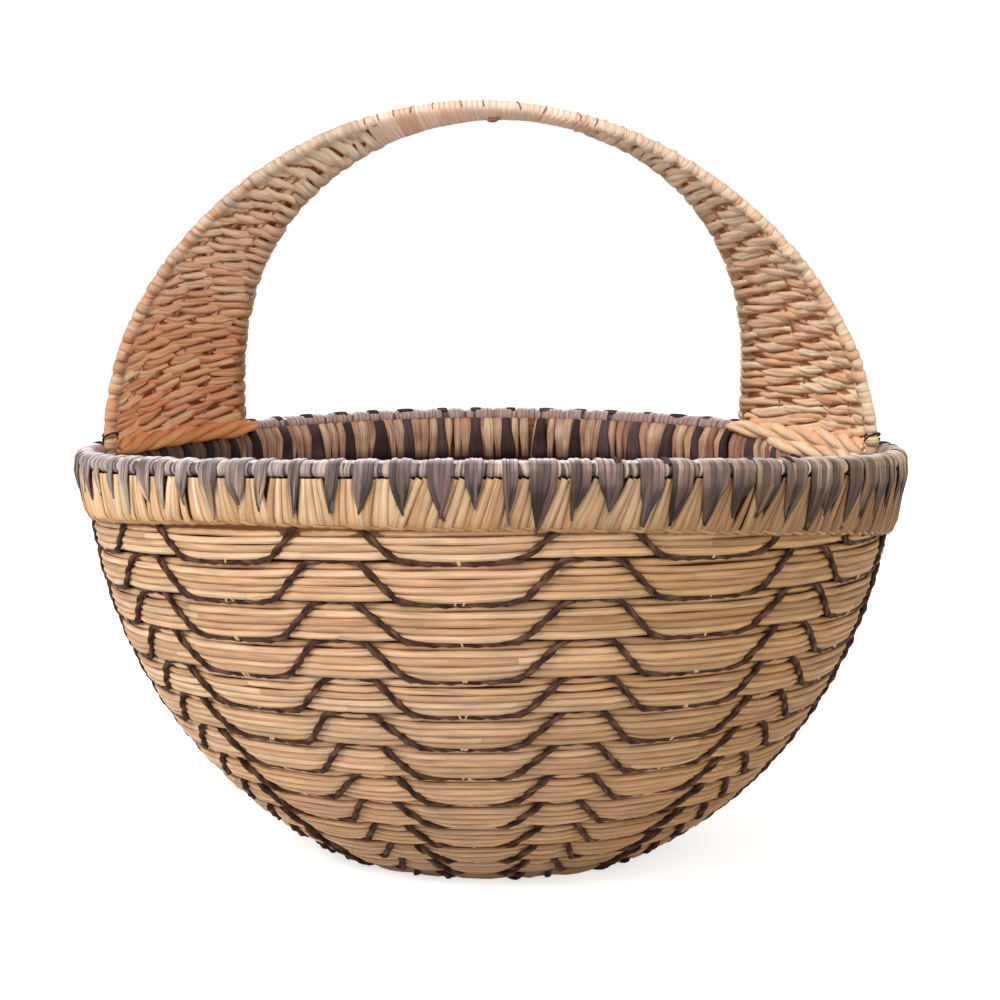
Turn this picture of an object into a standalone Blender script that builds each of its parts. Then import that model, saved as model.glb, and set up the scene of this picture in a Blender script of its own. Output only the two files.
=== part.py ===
"""A hanging basket planter: a coiled straw bowl with a wrapped rim and a woven basket handle.

The bowl is one unbroken spiral coil, from the middle of its flat base to the border band, bound by
one dark cord that steps down and up across every row. The handle is two hoops with a woven panel
between them on each side. Metres, +Z up, the origin on the ground under the middle of the base,
and the front of the basket towards -Y.
"""

import math

import bmesh
import bpy
import numpy as np
from mathutils import Vector
from mathutils.kdtree import KDTree

# Bowl: the outside is a quarter of an ellipse that is cut off by the flat base
RIM_RADIUS = 0.170
BOWL_HEIGHT = 0.170
WALL_INSET = 0.005
BASE_RADIUS = 0.0657
PROFILE_SAMPLES = 400

# Body coil
ROW_HEIGHT = 0.0149
COIL_THICKNESS = 0.009
COIL_GAP = 0.0006
COIL_END_HEIGHT = 0.0035
COIL_HEART_RADIUS = 0.0006
BASE_CUT = 0.0005
COIL_STATIONS = 21
# Outline of the coil: across the row as a share of its half height, and depth as a share of its thickness
COIL_OUTLINE_SHARES = ((-1, 0.35), (-0.45, 0), (0.45, 0), (1, 0.35), (0.7, 1), (-0.7, 1))

# Binding cord: one wave for each column of stitches
CORD_RADIUS = 0.0013
CORD_SEAT = 0.0006
CORD_BASE_CLEARANCE = 0.0165
STITCH_COLUMNS = 11
STITCH_COLUMN_TURN = math.radians(-3.5)
# Half widths of the wave along the upper and the lower groove, as shares of a column
STITCH_TOP_SHARE = 0.40
STITCH_FOOT_SHARE = 0.23

# Border band and the rim wrap with its teeth
RIM_WRAP_HEIGHT = 0.0064
RIM_WRAP_WIDTH = 0.0085
RIM_WRAP_EDGE = 0.0015
BAND_HEIGHT = 0.0188
BAND_WIDTH = 0.0129
BAND_STATIONS = 48
BAND_EDGE = 0.0035
BAND_ROUND_SHARE = 0.33
BAND_CORNER = 0.0010
TEETH = 86
TOOTH_THICKNESS = 0.0008
TOOTH_LENGTH = 0.0135
TOOTH_ROOT = 0.0022
TOOTH_VARIATION_SHARE = 0.18
TOOTH_WAVES = (2.4, 0.9)

# The rim of a hand-made basket is no flat circle: it rises at the back and droops at the sides
RIM_LIFT = 0.00335
LIFT_FADE = 0.045

# Handle: two hoops, which lean a little to one side at the top
HOOP_RADIUS = 0.0020
HOOP_STATIONS = 44
PANEL_ARC = math.radians(42)
OUTER_RISE = 0.1367
OUTER_LEAN = -0.0046
OUTER_FLANK_POWER = 1.016
OUTER_CROWN_POWER = 1.134
INNER_RISE = 0.1341
INNER_LEAN = 0.0037
INNER_FLANK_POWER = 1.045
INNER_CROWN_POWER = 0.785
HOOP_SPACING = 0.0043
HOOP_MEETING_POWER = 1.25
# How the inner hoop's angles are paired with the outer hoop's, so that the rows between them lie level
INNER_SHIFT = math.radians(4)
INNER_STRETCH = math.radians(8)
DOME_RADIUS = 0.185

# Woven panels with the ribs inside them, the strip round the top and the rolls at the foot
PANEL_THICKNESS = 0.0050
PANEL_EDGE_GAP = 0.0005
PANEL_TOP_ANGLE = math.radians(72)
PANEL_ROWS = 26
WEAVE_RELIEF = 0.0008
RIBS_PER_SIDE = 4
RIB_RADIUS = 0.0012
RIB_SIDES = 6
RIB_STATIONS = 14
BORE_WALL = 0.0008
BORE_OVERRUN = 0.006
WRAP_THICKNESS = 0.0010
WRAP_ANGLE = math.radians(17)
WRAP_STATIONS = 16
WRAP_SIDES = 8
ROLL_RADIUS = 0.0045
ROLL_STATIONS = 24
ROLL_SIDES = 12
ROLL_STRANDS = 3
ROLL_PITCH = 0.075
ROLL_GROOVE = 0.0009
# The inner hoop leans over the end of the roll, so that end keeps further away than a piece at its seat
ROLL_END_GAP = 0.0012

SEAT_GAP = 0.0003
SHARP_ANGLE = math.radians(60)
# Small turns: to see which way a curve goes, and to search for where a piece clears the next
LOOK_AHEAD = math.radians(0.5)
FIT_STEP = math.radians(0.05)

# Colours of the finished surfaces, as red, green and blue on screen
STRAW = (214, 172, 118)
PALE_STRAW = (222, 187, 137)
CORD_BROWN = (74, 58, 56)
RIM_GREY = (101, 92, 92)
HOOP_TAN = (205, 148, 104)
PANEL_LEFT_TAN = (192, 134, 90)
PANEL_RIGHT_TAN = (222, 170, 126)

WALL_RADIUS = RIM_RADIUS - WALL_INSET
WALL_DEPTH = BOWL_HEIGHT / math.sqrt(1 - (BASE_RADIUS / WALL_RADIUS) ** 2)
RIM_INNER_RADIUS = RIM_RADIUS - RIM_WRAP_WIDTH
BAND_OUTER_RADIUS = RIM_RADIUS - TOOTH_THICKNESS - SEAT_GAP
BAND_INNER_RADIUS = BAND_OUTER_RADIUS - BAND_WIDTH
BAND_TOP = BOWL_HEIGHT - RIM_WRAP_HEIGHT - SEAT_GAP
BAND_BOTTOM = BAND_TOP - BAND_HEIGHT
FOOT_RADIUS = RIM_INNER_RADIUS - SEAT_GAP - HOOP_RADIUS
ROLL_MIDDLE_HEIGHT = BAND_TOP + SEAT_GAP + ROLL_RADIUS
PANEL_FOOT = max(BOWL_HEIGHT, ROLL_MIDDLE_HEIGHT + ROLL_RADIUS) + SEAT_GAP
BORE_RADIUS = (RIB_RADIUS + SEAT_GAP) / math.cos(math.pi / RIB_SIDES)
RIB_NUMBERS = range(1, RIBS_PER_SIDE + 1)
TURN = 2 * math.pi
UP = Vector((0, 0, 1))
RIGHT = 1
LEFT = -1


def linear(channel):
    """One colour channel from its value on screen to the linear value that a shader takes."""
    share = channel / 255
    return share / 12.92 if share <= 0.04045 else ((share + 0.055) / 1.055) ** 2.4


def material(name, colour, roughness):
    made = bpy.data.materials.new(name)
    made.use_nodes = True
    shader = made.node_tree.nodes["Principled BSDF"]
    shader.inputs["Base Color"].default_value = (*map(linear, colour), 1)
    shader.inputs["Roughness"].default_value = roughness
    shader.inputs["Metallic"].default_value = 0
    return made


def settle(point):
    """Moves a point of the ideal, round basket to where the hand-made rim's rise and droop take it."""
    x, y, z = point
    across = x / RIM_RADIUS
    back = y / RIM_RADIUS
    if z <= BOWL_HEIGHT:
        height = z / BOWL_HEIGHT
    else:
        height = max(0, 1 - (z - BOWL_HEIGHT) / LIFT_FADE)
    strength = height * height * (3 - 2 * height)
    return Vector((x, y, z + RIM_LIFT * strength * (back * back - across * across + back)))


def add_object(name, data, surface):
    data.materials.clear()
    data.materials.append(surface)
    made = bpy.data.objects.new(name, data)
    bpy.context.scene.collection.objects.link(made)
    return made


def add_cap(work, ring):
    """Closes an end with a strip of faces, from one half of the ring to the other."""
    last = len(ring) - 1
    for side in range(len(ring) // 2 - 1):
        work.faces.new((ring[side], ring[side + 1], ring[last - 1 - side], ring[last - side]))


def loft(name, rings, surface, closed):
    """One closed body through rings of as many points: a loop of rings, or a run with two capped ends."""
    work = bmesh.new()
    made = [[work.verts.new(settle(point)) for point in ring] for ring in rings]
    last = len(made) if closed else len(made) - 1
    sides = len(made[0])
    for index in range(last):
        here = made[index]
        after = made[(index + 1) % len(made)]
        for side in range(sides):
            turn = (side + 1) % sides
            work.faces.new((here[side], here[turn], after[turn], after[side]))
    if not closed:
        add_cap(work, made[0])
        add_cap(work, made[-1])
    bmesh.ops.recalc_face_normals(work, faces=work.faces)
    mesh = bpy.data.meshes.new(name)
    work.to_mesh(mesh)
    work.free()
    mesh.shade_smooth()
    mesh.set_sharp_from_angle(angle=SHARP_ANGLE)
    return add_object(name, mesh, surface)


def rod(name, points, radius, sides_step, surface):
    """A round rod along points, with flat ends."""
    curve = bpy.data.curves.new(name, "CURVE")
    curve.dimensions = "3D"
    curve.bevel_depth = radius
    curve.bevel_resolution = sides_step
    curve.use_fill_caps = True
    line = curve.splines.new("POLY")
    line.points.add(len(points) - 1)
    for slot, point in zip(line.points, points):
        slot.co = (*settle(point), 1)
    line.use_smooth = True
    return add_object(name, curve, surface)


def wall_profile():
    """Length along the outside of the bowl, from the middle of the base, with its radius and height."""
    below = np.linspace(BOWL_HEIGHT + BASE_CUT, 0, PROFILE_SAMPLES)
    radius = WALL_RADIUS * np.sqrt(1 - (below / WALL_DEPTH) ** 2)
    height = BOWL_HEIGHT - below
    radius = np.concatenate([[0], radius])
    height = np.concatenate([[-BASE_CUT], height])
    length = np.concatenate([[0], np.cumsum(np.hypot(np.diff(radius), np.diff(height)))])
    return length, radius, height


PROFILE = wall_profile()
BAND_LENGTH = float(np.interp(BAND_BOTTOM - SEAT_GAP, PROFILE[2], PROFILE[0]))


def on_profile(length):
    """Radius and height at a length along the profile."""
    return np.array([np.interp(length, PROFILE[0], PROFILE[1]), np.interp(length, PROFILE[0], PROFILE[2])])


def direction(start, end):
    return (end - start) / np.linalg.norm(end - start)


def outward_at(length):
    """The direction out of the bowl at a length along the profile. The band's underside is level."""
    if length >= BAND_LENGTH:
        return np.array([1.0, 0.0])
    along = direction(on_profile(length - ROW_HEIGHT / 2), on_profile(length + ROW_HEIGHT / 2))
    return np.array([along[1], -along[0]])


def at_angle(angle, radius, height):
    """A point at an angle from the front, counted to the right as seen from above."""
    return Vector((radius * math.sin(angle), -radius * math.cos(angle), height))


def row_limits(angle):
    """The lower and upper edge of the coil at an angle along its spiral, which the band cuts off."""
    low = ROW_HEIGHT * angle / TURN
    return max(low, COIL_HEART_RADIUS), min(low + ROW_HEIGHT, BAND_LENGTH)


def coil_section(angle):
    """The coil's outline at an angle, a wedge whose sides are parallel to those of its neighbours."""
    low, high = row_limits(angle)
    margin = direction(on_profile(low), on_profile(high)) * COIL_GAP / 2
    start = on_profile(low) + margin
    end = on_profile(high) - margin
    ring = []
    for across_share, depth_share in COIL_OUTLINE_SHARES:
        up = (1 + across_share) / 2
        outward = outward_at(low) * (1 - up) + outward_at(high) * up
        spot = start + (end - start) * up - outward * COIL_THICKNESS * depth_share
        ring.append(at_angle(angle, float(spot[0]), max(0.0, float(spot[1]))))
    return ring


def least_self_gap(points, apart, thickness):
    """The least gap from a tube to itself, between points that are at least so many points apart."""
    tree = KDTree(len(points))
    for index, point in enumerate(points):
        tree.insert(point, index)
    tree.balance()
    least = math.inf
    for index, point in enumerate(points):
        found = tree.find_range(point, thickness + COIL_THICKNESS)
        others = [gap for _, other, gap in found if abs(other - index) >= apart]
        least = min([least, *others])
    return least - thickness


def body_coil(surface):
    """The spiral coil: every turn lies on the one before, and the last thins out under the band."""
    first = -COIL_STATIONS // 2
    last = int((BAND_LENGTH - COIL_END_HEIGHT) / ROW_HEIGHT * COIL_STATIONS)
    rings = [coil_section(TURN * index / COIL_STATIONS) for index in range(first, last + 1)]
    edges = [(ring[0], ring[3]) for ring in rings]
    gaps = [(low[1] - high[0]).length for low, high in zip(edges, edges[COIL_STATIONS:])]
    print("body_coil: least gap between turns, mm:", round(min(gaps) * 1000, 2))
    return loft("body_coil", rings, surface, closed=False)


def cord_point(angle, length):
    """A point of the cord's middle line, lying on the outside of the coil."""
    spot = on_profile(length) + outward_at(length) * (CORD_RADIUS + CORD_SEAT)
    return at_angle(angle, float(spot[0]), float(spot[1]))


def cord_start_angle():
    """Where the cord comes out: clear of the ground that the base stands on."""
    height = CORD_BASE_CLEARANCE
    return TURN * float(np.interp(height, PROFILE[2][1:], PROFILE[0][1:])) / ROW_HEIGHT


def binding_cord(surface):
    """One cord: down across a row, along its lower groove, up across it and along the upper groove."""
    column = TURN / STITCH_COLUMNS
    top_limit = BAND_LENGTH - CORD_RADIUS - SEAT_GAP
    last = TURN * (top_limit - ROW_HEIGHT / 2) / ROW_HEIGHT
    first_column = math.ceil((cord_start_angle() - STITCH_COLUMN_TURN) / column)
    last_column = math.floor((last - STITCH_COLUMN_TURN) / column)
    corners = (
        (-STITCH_TOP_SHARE, 1),
        (-STITCH_FOOT_SHARE, 0),
        (STITCH_FOOT_SHARE, 0),
        (STITCH_TOP_SHARE, 1),
    )
    points = []
    for number in range(first_column, last_column + 1):
        for column_share, row_share in corners:
            angle = STITCH_COLUMN_TURN + (number + column_share) * column
            length = min(ROW_HEIGHT * (angle / TURN + row_share), top_limit)
            points.append(cord_point(angle, length))
    gap = least_self_gap(points, STITCH_COLUMNS, 2 * CORD_RADIUS)
    print("binding_cord: least gap to itself, mm:", round(gap * 1000, 2))
    return rod("binding_cord", points, CORD_RADIUS, 0, surface)


def border_band(surface):
    """The thick band of slanting straw under the rim, with a rounded lower edge."""
    rounding = BAND_EDGE * BAND_ROUND_SHARE
    outline = (
        (BAND_INNER_RADIUS, BAND_BOTTOM + BAND_CORNER),
        (BAND_INNER_RADIUS, BAND_TOP - BAND_CORNER),
        (BAND_INNER_RADIUS + BAND_CORNER, BAND_TOP),
        (BAND_OUTER_RADIUS, BAND_TOP),
        (BAND_OUTER_RADIUS, BAND_BOTTOM + BAND_EDGE),
        (BAND_OUTER_RADIUS - rounding, BAND_BOTTOM + rounding),
        (BAND_OUTER_RADIUS - BAND_EDGE, BAND_BOTTOM),
        (BAND_INNER_RADIUS + BAND_CORNER, BAND_BOTTOM),
    )
    rings = []
    for index in range(BAND_STATIONS):
        angle = TURN * index / BAND_STATIONS
        rings.append([at_angle(angle, radius, height) for radius, height in outline])
    return loft("border_band", rings, surface, closed=True)


def tooth_length(number):
    """Teeth are cut by hand, so their lengths differ in a wave that never quite repeats."""
    fast, slow = TOOTH_WAVES
    wave = math.sin(fast * number) * math.cos(slow * number)
    return TOOTH_LENGTH * (1 + TOOTH_VARIATION_SHARE * wave)


def rim_wrap(surface):
    """The wrapped rim coil, with dark pointed teeth that hang over the band."""
    rings = []
    skirt_radius = RIM_RADIUS - TOOTH_THICKNESS
    underside = BOWL_HEIGHT - RIM_WRAP_HEIGHT
    for index in range(2 * TEETH):
        angle = TURN * index / (2 * TEETH)
        drop = tooth_length(index // 2) if index % 2 else TOOTH_ROOT
        outline = (
            (RIM_INNER_RADIUS, underside),
            (RIM_INNER_RADIUS + RIM_WRAP_EDGE, BOWL_HEIGHT),
            (RIM_RADIUS - RIM_WRAP_EDGE, BOWL_HEIGHT),
            (RIM_RADIUS, BOWL_HEIGHT - RIM_WRAP_EDGE),
            (RIM_RADIUS, underside - drop),
            (skirt_radius, underside - drop),
            (skirt_radius, underside),
        )
        rings.append([at_angle(angle, radius, height) for radius, height in outline])
    return loft("rim_wrap", rings, surface, closed=True)


def outer_hoop_point(angle):
    """The outer hoop's middle line: 0 is the right foot, half a turn the left foot."""
    across = math.cos(angle)
    up = math.sin(angle)
    x = math.copysign(FOOT_RADIUS * abs(across) ** OUTER_FLANK_POWER, across) + OUTER_LEAN * up
    return Vector((x, 0, BOWL_HEIGHT + OUTER_RISE * max(0, up) ** OUTER_CROWN_POWER))


def inner_hoop_point(angle):
    """The inner hoop's middle line, which leans forward from the back of the rim to the outer hoop."""
    turn = angle + INNER_SHIFT * math.sin(angle) - INNER_STRETCH * math.sin(2 * angle)
    across = math.cos(turn)
    up = math.sin(turn)
    span = FOOT_RADIUS * math.cos(PANEL_ARC)
    back = FOOT_RADIUS * math.sin(PANEL_ARC)
    x = math.copysign(span * abs(across) ** INNER_FLANK_POWER, across) + INNER_LEAN * up
    y = HOOP_SPACING + (back - HOOP_SPACING) * (1 - up) ** HOOP_MEETING_POWER
    return Vector((x, y, BOWL_HEIGHT + INNER_RISE * max(0, up) ** INNER_CROWN_POWER))


def hoop(name, point_at, surface):
    """A bent rod whose two feet stand on the band, behind the rim."""
    arch = [point_at(math.pi * index / HOOP_STATIONS) for index in range(HOOP_STATIONS + 1)]
    feet = [Vector((end.x, end.y, BAND_TOP + SEAT_GAP)) for end in (arch[0], arch[-1])]
    return rod(name, [feet[0], *arch, feet[1]], HOOP_RADIUS, 1, surface)


def panel_frame(side, across_share, angle):
    """A point between the hoops, bulged like a dome, the direction out of the panel and that across it."""
    turn = angle if side == RIGHT else math.pi - angle
    outer = outer_hoop_point(turn)
    inner = inner_hoop_point(turn)
    chord = inner - outer
    middle = (outer + inner) / 2
    centre = Vector((0, 0, BOWL_HEIGHT))
    outward = (middle - centre).normalized()
    bulge = chord.length ** 2 / (8 * DOME_RADIUS)
    spot = outer + chord * across_share + outward * bulge * 4 * across_share * (1 - across_share)
    ahead = turn + LOOK_AHEAD
    upward = outer_hoop_point(ahead) + inner_hoop_point(ahead) - outer - inner
    normal = chord.cross(upward).normalized()
    if normal.dot(outward) < 0:
        normal.negate()
    return spot, normal, chord.normalized()


def hoop_distance(side, angle):
    turn = angle if side == RIGHT else math.pi - angle
    return (inner_hoop_point(turn) - outer_hoop_point(turn)).length


def lowest_corner(side, angle):
    """The height of the lowest corner that a row of the panel has at an angle."""
    heights = []
    for across_share in (0, 1):
        spot, normal, _ = panel_frame(side, across_share, angle)
        heights.append(spot.z - abs(normal.z) * (PANEL_THICKNESS / 2 + WEAVE_RELIEF))
    return min(heights)


def panel_bottom_angle(side):
    """The lowest angle at which the panel clears the rim and the roll at its foot."""
    angle = 0
    while lowest_corner(side, angle) < PANEL_FOOT:
        angle += FIT_STEP
    return angle


def column_share(side, angle, column):
    """Where a column lies across the panel: the first and last clear the hoops, the others are the ribs."""
    edge = (HOOP_RADIUS + PANEL_EDGE_GAP) / hoop_distance(side, angle)
    return edge + (1 - 2 * edge) * column / (RIBS_PER_SIDE + 1)


def woven_panel(name, side, surface):
    """A dome of rows between the hoops, from the foot roll to the wrapped top, bored for its ribs."""
    first = panel_bottom_angle(side)
    rings = []
    for row in range(PANEL_ROWS + 1):
        angle = first + (PANEL_TOP_ANGLE - first) * row / PANEL_ROWS
        front = []
        back = []
        for column in range(RIBS_PER_SIDE + 2):
            spot, normal, _ = panel_frame(side, column_share(side, angle, column), angle)
            edge = column in (0, RIBS_PER_SIDE + 1)
            over = 0 if edge else WEAVE_RELIEF * ((row + column) % 2)
            under = 0 if edge else WEAVE_RELIEF - over
            front.append(spot + normal * (PANEL_THICKNESS / 2 + over))
            back.append(spot - normal * (PANEL_THICKNESS / 2 + under))
        rings.append(front + back[::-1])
    panel = loft(name, rings, surface, closed=False)
    bores = [rib_tube("bore", side, number, BORE_RADIUS, surface) for number in RIB_NUMBERS]
    cut_out(panel, bores)


def cut_out(body, cutters):
    """Cuts bodies out of another and removes them."""
    for cutter in cutters:
        change = body.modifiers.new("cut", "BOOLEAN")
        change.operation = "DIFFERENCE"
        change.solver = "EXACT"
        change.object = cutter
    bpy.context.view_layer.update()
    seen = body.evaluated_get(bpy.context.evaluated_depsgraph_get())
    cut_mesh = bpy.data.meshes.new_from_object(seen)
    body.modifiers.clear()
    body.data = cut_mesh
    for cutter in cutters:
        bpy.data.objects.remove(cutter, do_unlink=True)


def rib_top_angle(side, first):
    """The highest angle at which the bores of neighbouring ribs leave a wall between them."""
    room = 2 * (HOOP_RADIUS + PANEL_EDGE_GAP) + (RIBS_PER_SIDE + 1) * (2 * BORE_RADIUS + BORE_WALL)
    last = PANEL_TOP_ANGLE
    while last > first and hoop_distance(side, last) < room:
        last -= FIT_STEP
    return last


def rib_tube(name, side, number, radius, surface):
    """A rod inside the panel, from its foot towards the top. A bore for it is wider and reaches further."""
    first = panel_bottom_angle(side)
    last = rib_top_angle(side, first)
    sections = []
    for index in range(RIB_STATIONS):
        angle = first + (last - first) * index / (RIB_STATIONS - 1)
        sections.append(panel_frame(side, column_share(side, angle, number), angle))
    if radius > RIB_RADIUS:
        sections = stretched(sections)
    rings = []
    for spot, normal, across in sections:
        turns = [TURN * step / RIB_SIDES for step in range(RIB_SIDES)]
        ring = [spot + (across * math.cos(turn) + normal * math.sin(turn)) * radius for turn in turns]
        rings.append(ring)
    return loft(name, rings, surface, closed=False)


def stretched(sections):
    """A bore's sections: past the panel's foot at one end, and just past the rib's tip at the other."""
    start, start_normal, start_across = sections[0]
    tip, tip_normal, tip_across = sections[-1]
    below = start - (sections[1][0] - start).normalized() * BORE_OVERRUN
    above = tip + (tip - sections[-2][0]).normalized() * SEAT_GAP
    return [(below, start_normal, start_across), *sections[1:-1], (above, tip_normal, tip_across)]


def stadium(centre, across, out, half_length, radius):
    """Points round two hoops that lie side by side."""
    ring = []
    for step in range(WRAP_SIDES):
        angle = TURN * (step + 0.5) / WRAP_SIDES
        end = math.copysign(half_length, math.cos(angle))
        ring.append(centre + across * (end + radius * math.cos(angle)) + out * radius * math.sin(angle))
    return ring


def handle_top_wrap(surface):
    """The strip that binds the two hoops at the top: a sleeve with both rods running through it."""
    hole = (HOOP_RADIUS + SEAT_GAP) / math.cos(math.pi / WRAP_SIDES)
    rings_outside = []
    rings_inside = []
    for index in range(WRAP_STATIONS + 1):
        turn = math.pi / 2 - WRAP_ANGLE + 2 * WRAP_ANGLE * index / WRAP_STATIONS
        outer = outer_hoop_point(turn)
        inner = inner_hoop_point(turn)
        ahead = turn + LOOK_AHEAD
        forward = outer_hoop_point(ahead) + inner_hoop_point(ahead) - outer - inner
        centre = (outer + inner) / 2
        across = (inner - outer).normalized()
        out = across.cross(forward).normalized()
        half = (inner - outer).length / 2
        rings_outside.append(stadium(centre, across, out, half, hole + WRAP_THICKNESS))
        rings_inside.append(stadium(centre, across, out, half, hole))
    return sleeve("handle_top_wrap", rings_outside, rings_inside, surface)


def sleeve(name, rings_outside, rings_inside, surface):
    """A tube with a bore: an outer and an inner skin, joined by a flat rim at each end."""
    rings = rings_outside + rings_inside[::-1]
    return loft(name, rings, surface, closed=True)


def foot_roll(name, side, surface):
    """The roll of three strands on the band, along the inside of the rim, between the feet of the hoops."""
    radius = RIM_INNER_RADIUS - SEAT_GAP - ROLL_RADIUS
    margin = (HOOP_RADIUS + ROLL_END_GAP) / FOOT_RADIUS
    rings = []
    for index in range(ROLL_STATIONS):
        turn = margin + (PANEL_ARC - 2 * margin) * index / (ROLL_STATIONS - 1)
        inward = Vector((-side * math.cos(turn), -math.sin(turn), 0))
        centre = Vector((0, 0, ROLL_MIDDLE_HEIGHT)) - inward * radius
        rings.append(roll_ring(centre, inward, TURN * turn * radius / ROLL_PITCH))
    return loft(name, rings, surface, closed=False)


def roll_ring(centre, inward, lay):
    """Points round the roll at one place: each strand bulges out, with a groove beside it."""
    ring = []
    for step in range(ROLL_SIDES):
        angle = TURN * step / ROLL_SIDES
        bulge = (1 + math.cos(ROLL_STRANDS * (angle - lay))) / 2
        reach = ROLL_RADIUS - ROLL_GROOVE * (1 - bulge)
        ring.append(centre + (inward * math.cos(angle) + UP * math.sin(angle)) * reach)
    return ring


def build():
    for old in list(bpy.data.objects):
        bpy.data.objects.remove(old, do_unlink=True)
    body_coil(material("straw", STRAW, 0.7))
    binding_cord(material("cord_brown", CORD_BROWN, 0.6))
    border_band(material("pale_straw", PALE_STRAW, 0.7))
    rim_wrap(material("rim_grey", RIM_GREY, 0.75))
    hoop_surface = material("hoop_tan", HOOP_TAN, 0.6)
    hoop("handle_outer_hoop", outer_hoop_point, hoop_surface)
    hoop("handle_inner_hoop", inner_hoop_point, hoop_surface)
    handle_top_wrap(material("strip_tan", HOOP_TAN, 0.6))
    sides = (("left", LEFT, PANEL_LEFT_TAN), ("right", RIGHT, PANEL_RIGHT_TAN))
    for label, side, colour in sides:
        panel_surface = material(f"panel_{label}", colour, 0.7)
        woven_panel(f"handle_panel_{label}", side, panel_surface)
        foot_roll(f"foot_roll_{label}", side, panel_surface)
        for number in RIB_NUMBERS:
            rib_tube(f"handle_rib_{label}_{number}", side, number, RIB_RADIUS, hoop_surface)


build()
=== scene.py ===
"""The looks of the hanging basket planter: straw rows, dark cord, wrapped rim and woven handle.

Metres, +Z up, the front towards -Y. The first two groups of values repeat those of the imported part,
so that every straw, strip and strand lies where its solid is. Angles round the bowl count from the
front to the right, as seen from above.
"""

import itertools
import math

import bpy
import numpy as np
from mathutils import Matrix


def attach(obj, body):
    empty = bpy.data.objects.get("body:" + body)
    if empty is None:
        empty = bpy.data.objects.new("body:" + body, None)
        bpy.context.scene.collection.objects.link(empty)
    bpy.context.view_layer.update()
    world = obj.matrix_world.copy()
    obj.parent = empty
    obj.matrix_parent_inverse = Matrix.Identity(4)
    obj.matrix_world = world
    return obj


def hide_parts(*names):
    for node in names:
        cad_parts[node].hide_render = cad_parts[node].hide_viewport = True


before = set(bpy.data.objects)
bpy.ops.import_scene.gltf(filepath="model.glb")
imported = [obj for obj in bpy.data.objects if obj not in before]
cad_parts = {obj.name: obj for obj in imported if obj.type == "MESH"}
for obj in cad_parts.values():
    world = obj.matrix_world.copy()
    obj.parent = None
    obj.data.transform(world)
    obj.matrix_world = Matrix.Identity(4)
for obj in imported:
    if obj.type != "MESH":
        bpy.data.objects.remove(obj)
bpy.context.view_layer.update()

# Bowl, as in the part
RIM_RADIUS = 0.170
BOWL_HEIGHT = 0.170
WALL_RADIUS = 0.165
BASE_RADIUS = 0.0657
BASE_CUT = 0.0005
PROFILE_SAMPLES = 400
ROW_HEIGHT = 0.0149
COIL_THICKNESS = 0.009
COIL_HEART_RADIUS = 0.0006
COIL_END_HEIGHT = 0.0035
CORD_RADIUS = 0.0013
STITCH_COLUMNS = 11
STITCH_COLUMN_TURN = math.radians(-3.5)
STITCH_TOP_SHARE = 0.40
STITCH_FOOT_SHARE = 0.23
RIM_WRAP_HEIGHT = 0.0064
RIM_WRAP_WIDTH = 0.0085
BAND_HEIGHT = 0.0188
BAND_WIDTH = 0.0129
BAND_EDGE = 0.0035
TEETH = 86
TOOTH_THICKNESS = 0.0008
TOOTH_LENGTH = 0.0135
TOOTH_ROOT = 0.0022
TOOTH_VARIATION_SHARE = 0.18
TOOTH_WAVES = (2.4, 0.9)
RIM_LIFT = 0.00335
LIFT_FADE = 0.045
SEAT_GAP = 0.0003

# Handle, as in the part
HOOP_RADIUS = 0.0020
PANEL_ARC = math.radians(42)
OUTER_RISE = 0.1367
OUTER_LEAN = -0.0046
OUTER_FLANK_POWER = 1.016
OUTER_CROWN_POWER = 1.134
INNER_RISE = 0.1341
INNER_LEAN = 0.0037
INNER_FLANK_POWER = 1.045
INNER_CROWN_POWER = 0.785
HOOP_SPACING = 0.0043
HOOP_MEETING_POWER = 1.25
INNER_SHIFT = math.radians(4)
INNER_STRETCH = math.radians(8)
DOME_RADIUS = 0.185
PANEL_TOP_ANGLE = math.radians(72)
WRAP_ANGLE = math.radians(17)
LOOK_AHEAD = math.radians(0.5)

TURN = 2 * math.pi
RIGHT = 1
LEFT = -1
COLUMN = TURN / STITCH_COLUMNS
WALL_DEPTH = BOWL_HEIGHT / math.sqrt(1 - (BASE_RADIUS / WALL_RADIUS) ** 2)
RIM_INNER_RADIUS = RIM_RADIUS - RIM_WRAP_WIDTH
RIM_MIDDLE_RADIUS = RIM_RADIUS - RIM_WRAP_WIDTH / 2
RIM_UNDERSIDE = BOWL_HEIGHT - RIM_WRAP_HEIGHT
RIM_MIDDLE_HEIGHT = BOWL_HEIGHT - RIM_WRAP_HEIGHT / 2
BAND_OUTER_RADIUS = RIM_RADIUS - TOOTH_THICKNESS - SEAT_GAP
BAND_INNER_RADIUS = BAND_OUTER_RADIUS - BAND_WIDTH
BAND_TOP = RIM_UNDERSIDE - SEAT_GAP
BAND_BOTTOM = BAND_TOP - BAND_HEIGHT
FOOT_RADIUS = RIM_INNER_RADIUS - SEAT_GAP - HOOP_RADIUS

# Painted shade: how a strand's colour deepens towards its edges, as shares of its red, green and blue
UNSHADED_EDGE = (1.0, 1.0, 1.0)
STRAW_EDGE_SHADE = (0.72, 0.60, 0.50)
BAND_STRAW_EDGE_SHADE = (0.64, 0.50, 0.38)
STRIP_EDGE_SHADE = (0.68, 0.62, 0.60)
WEAVE_EDGE_SHADE = (0.95, 0.88, 0.79)
EDGE_SHADE_POWER = 3
TONE_SPREAD = 0.05
MAP_SHIFT = 1 / TURN

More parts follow.
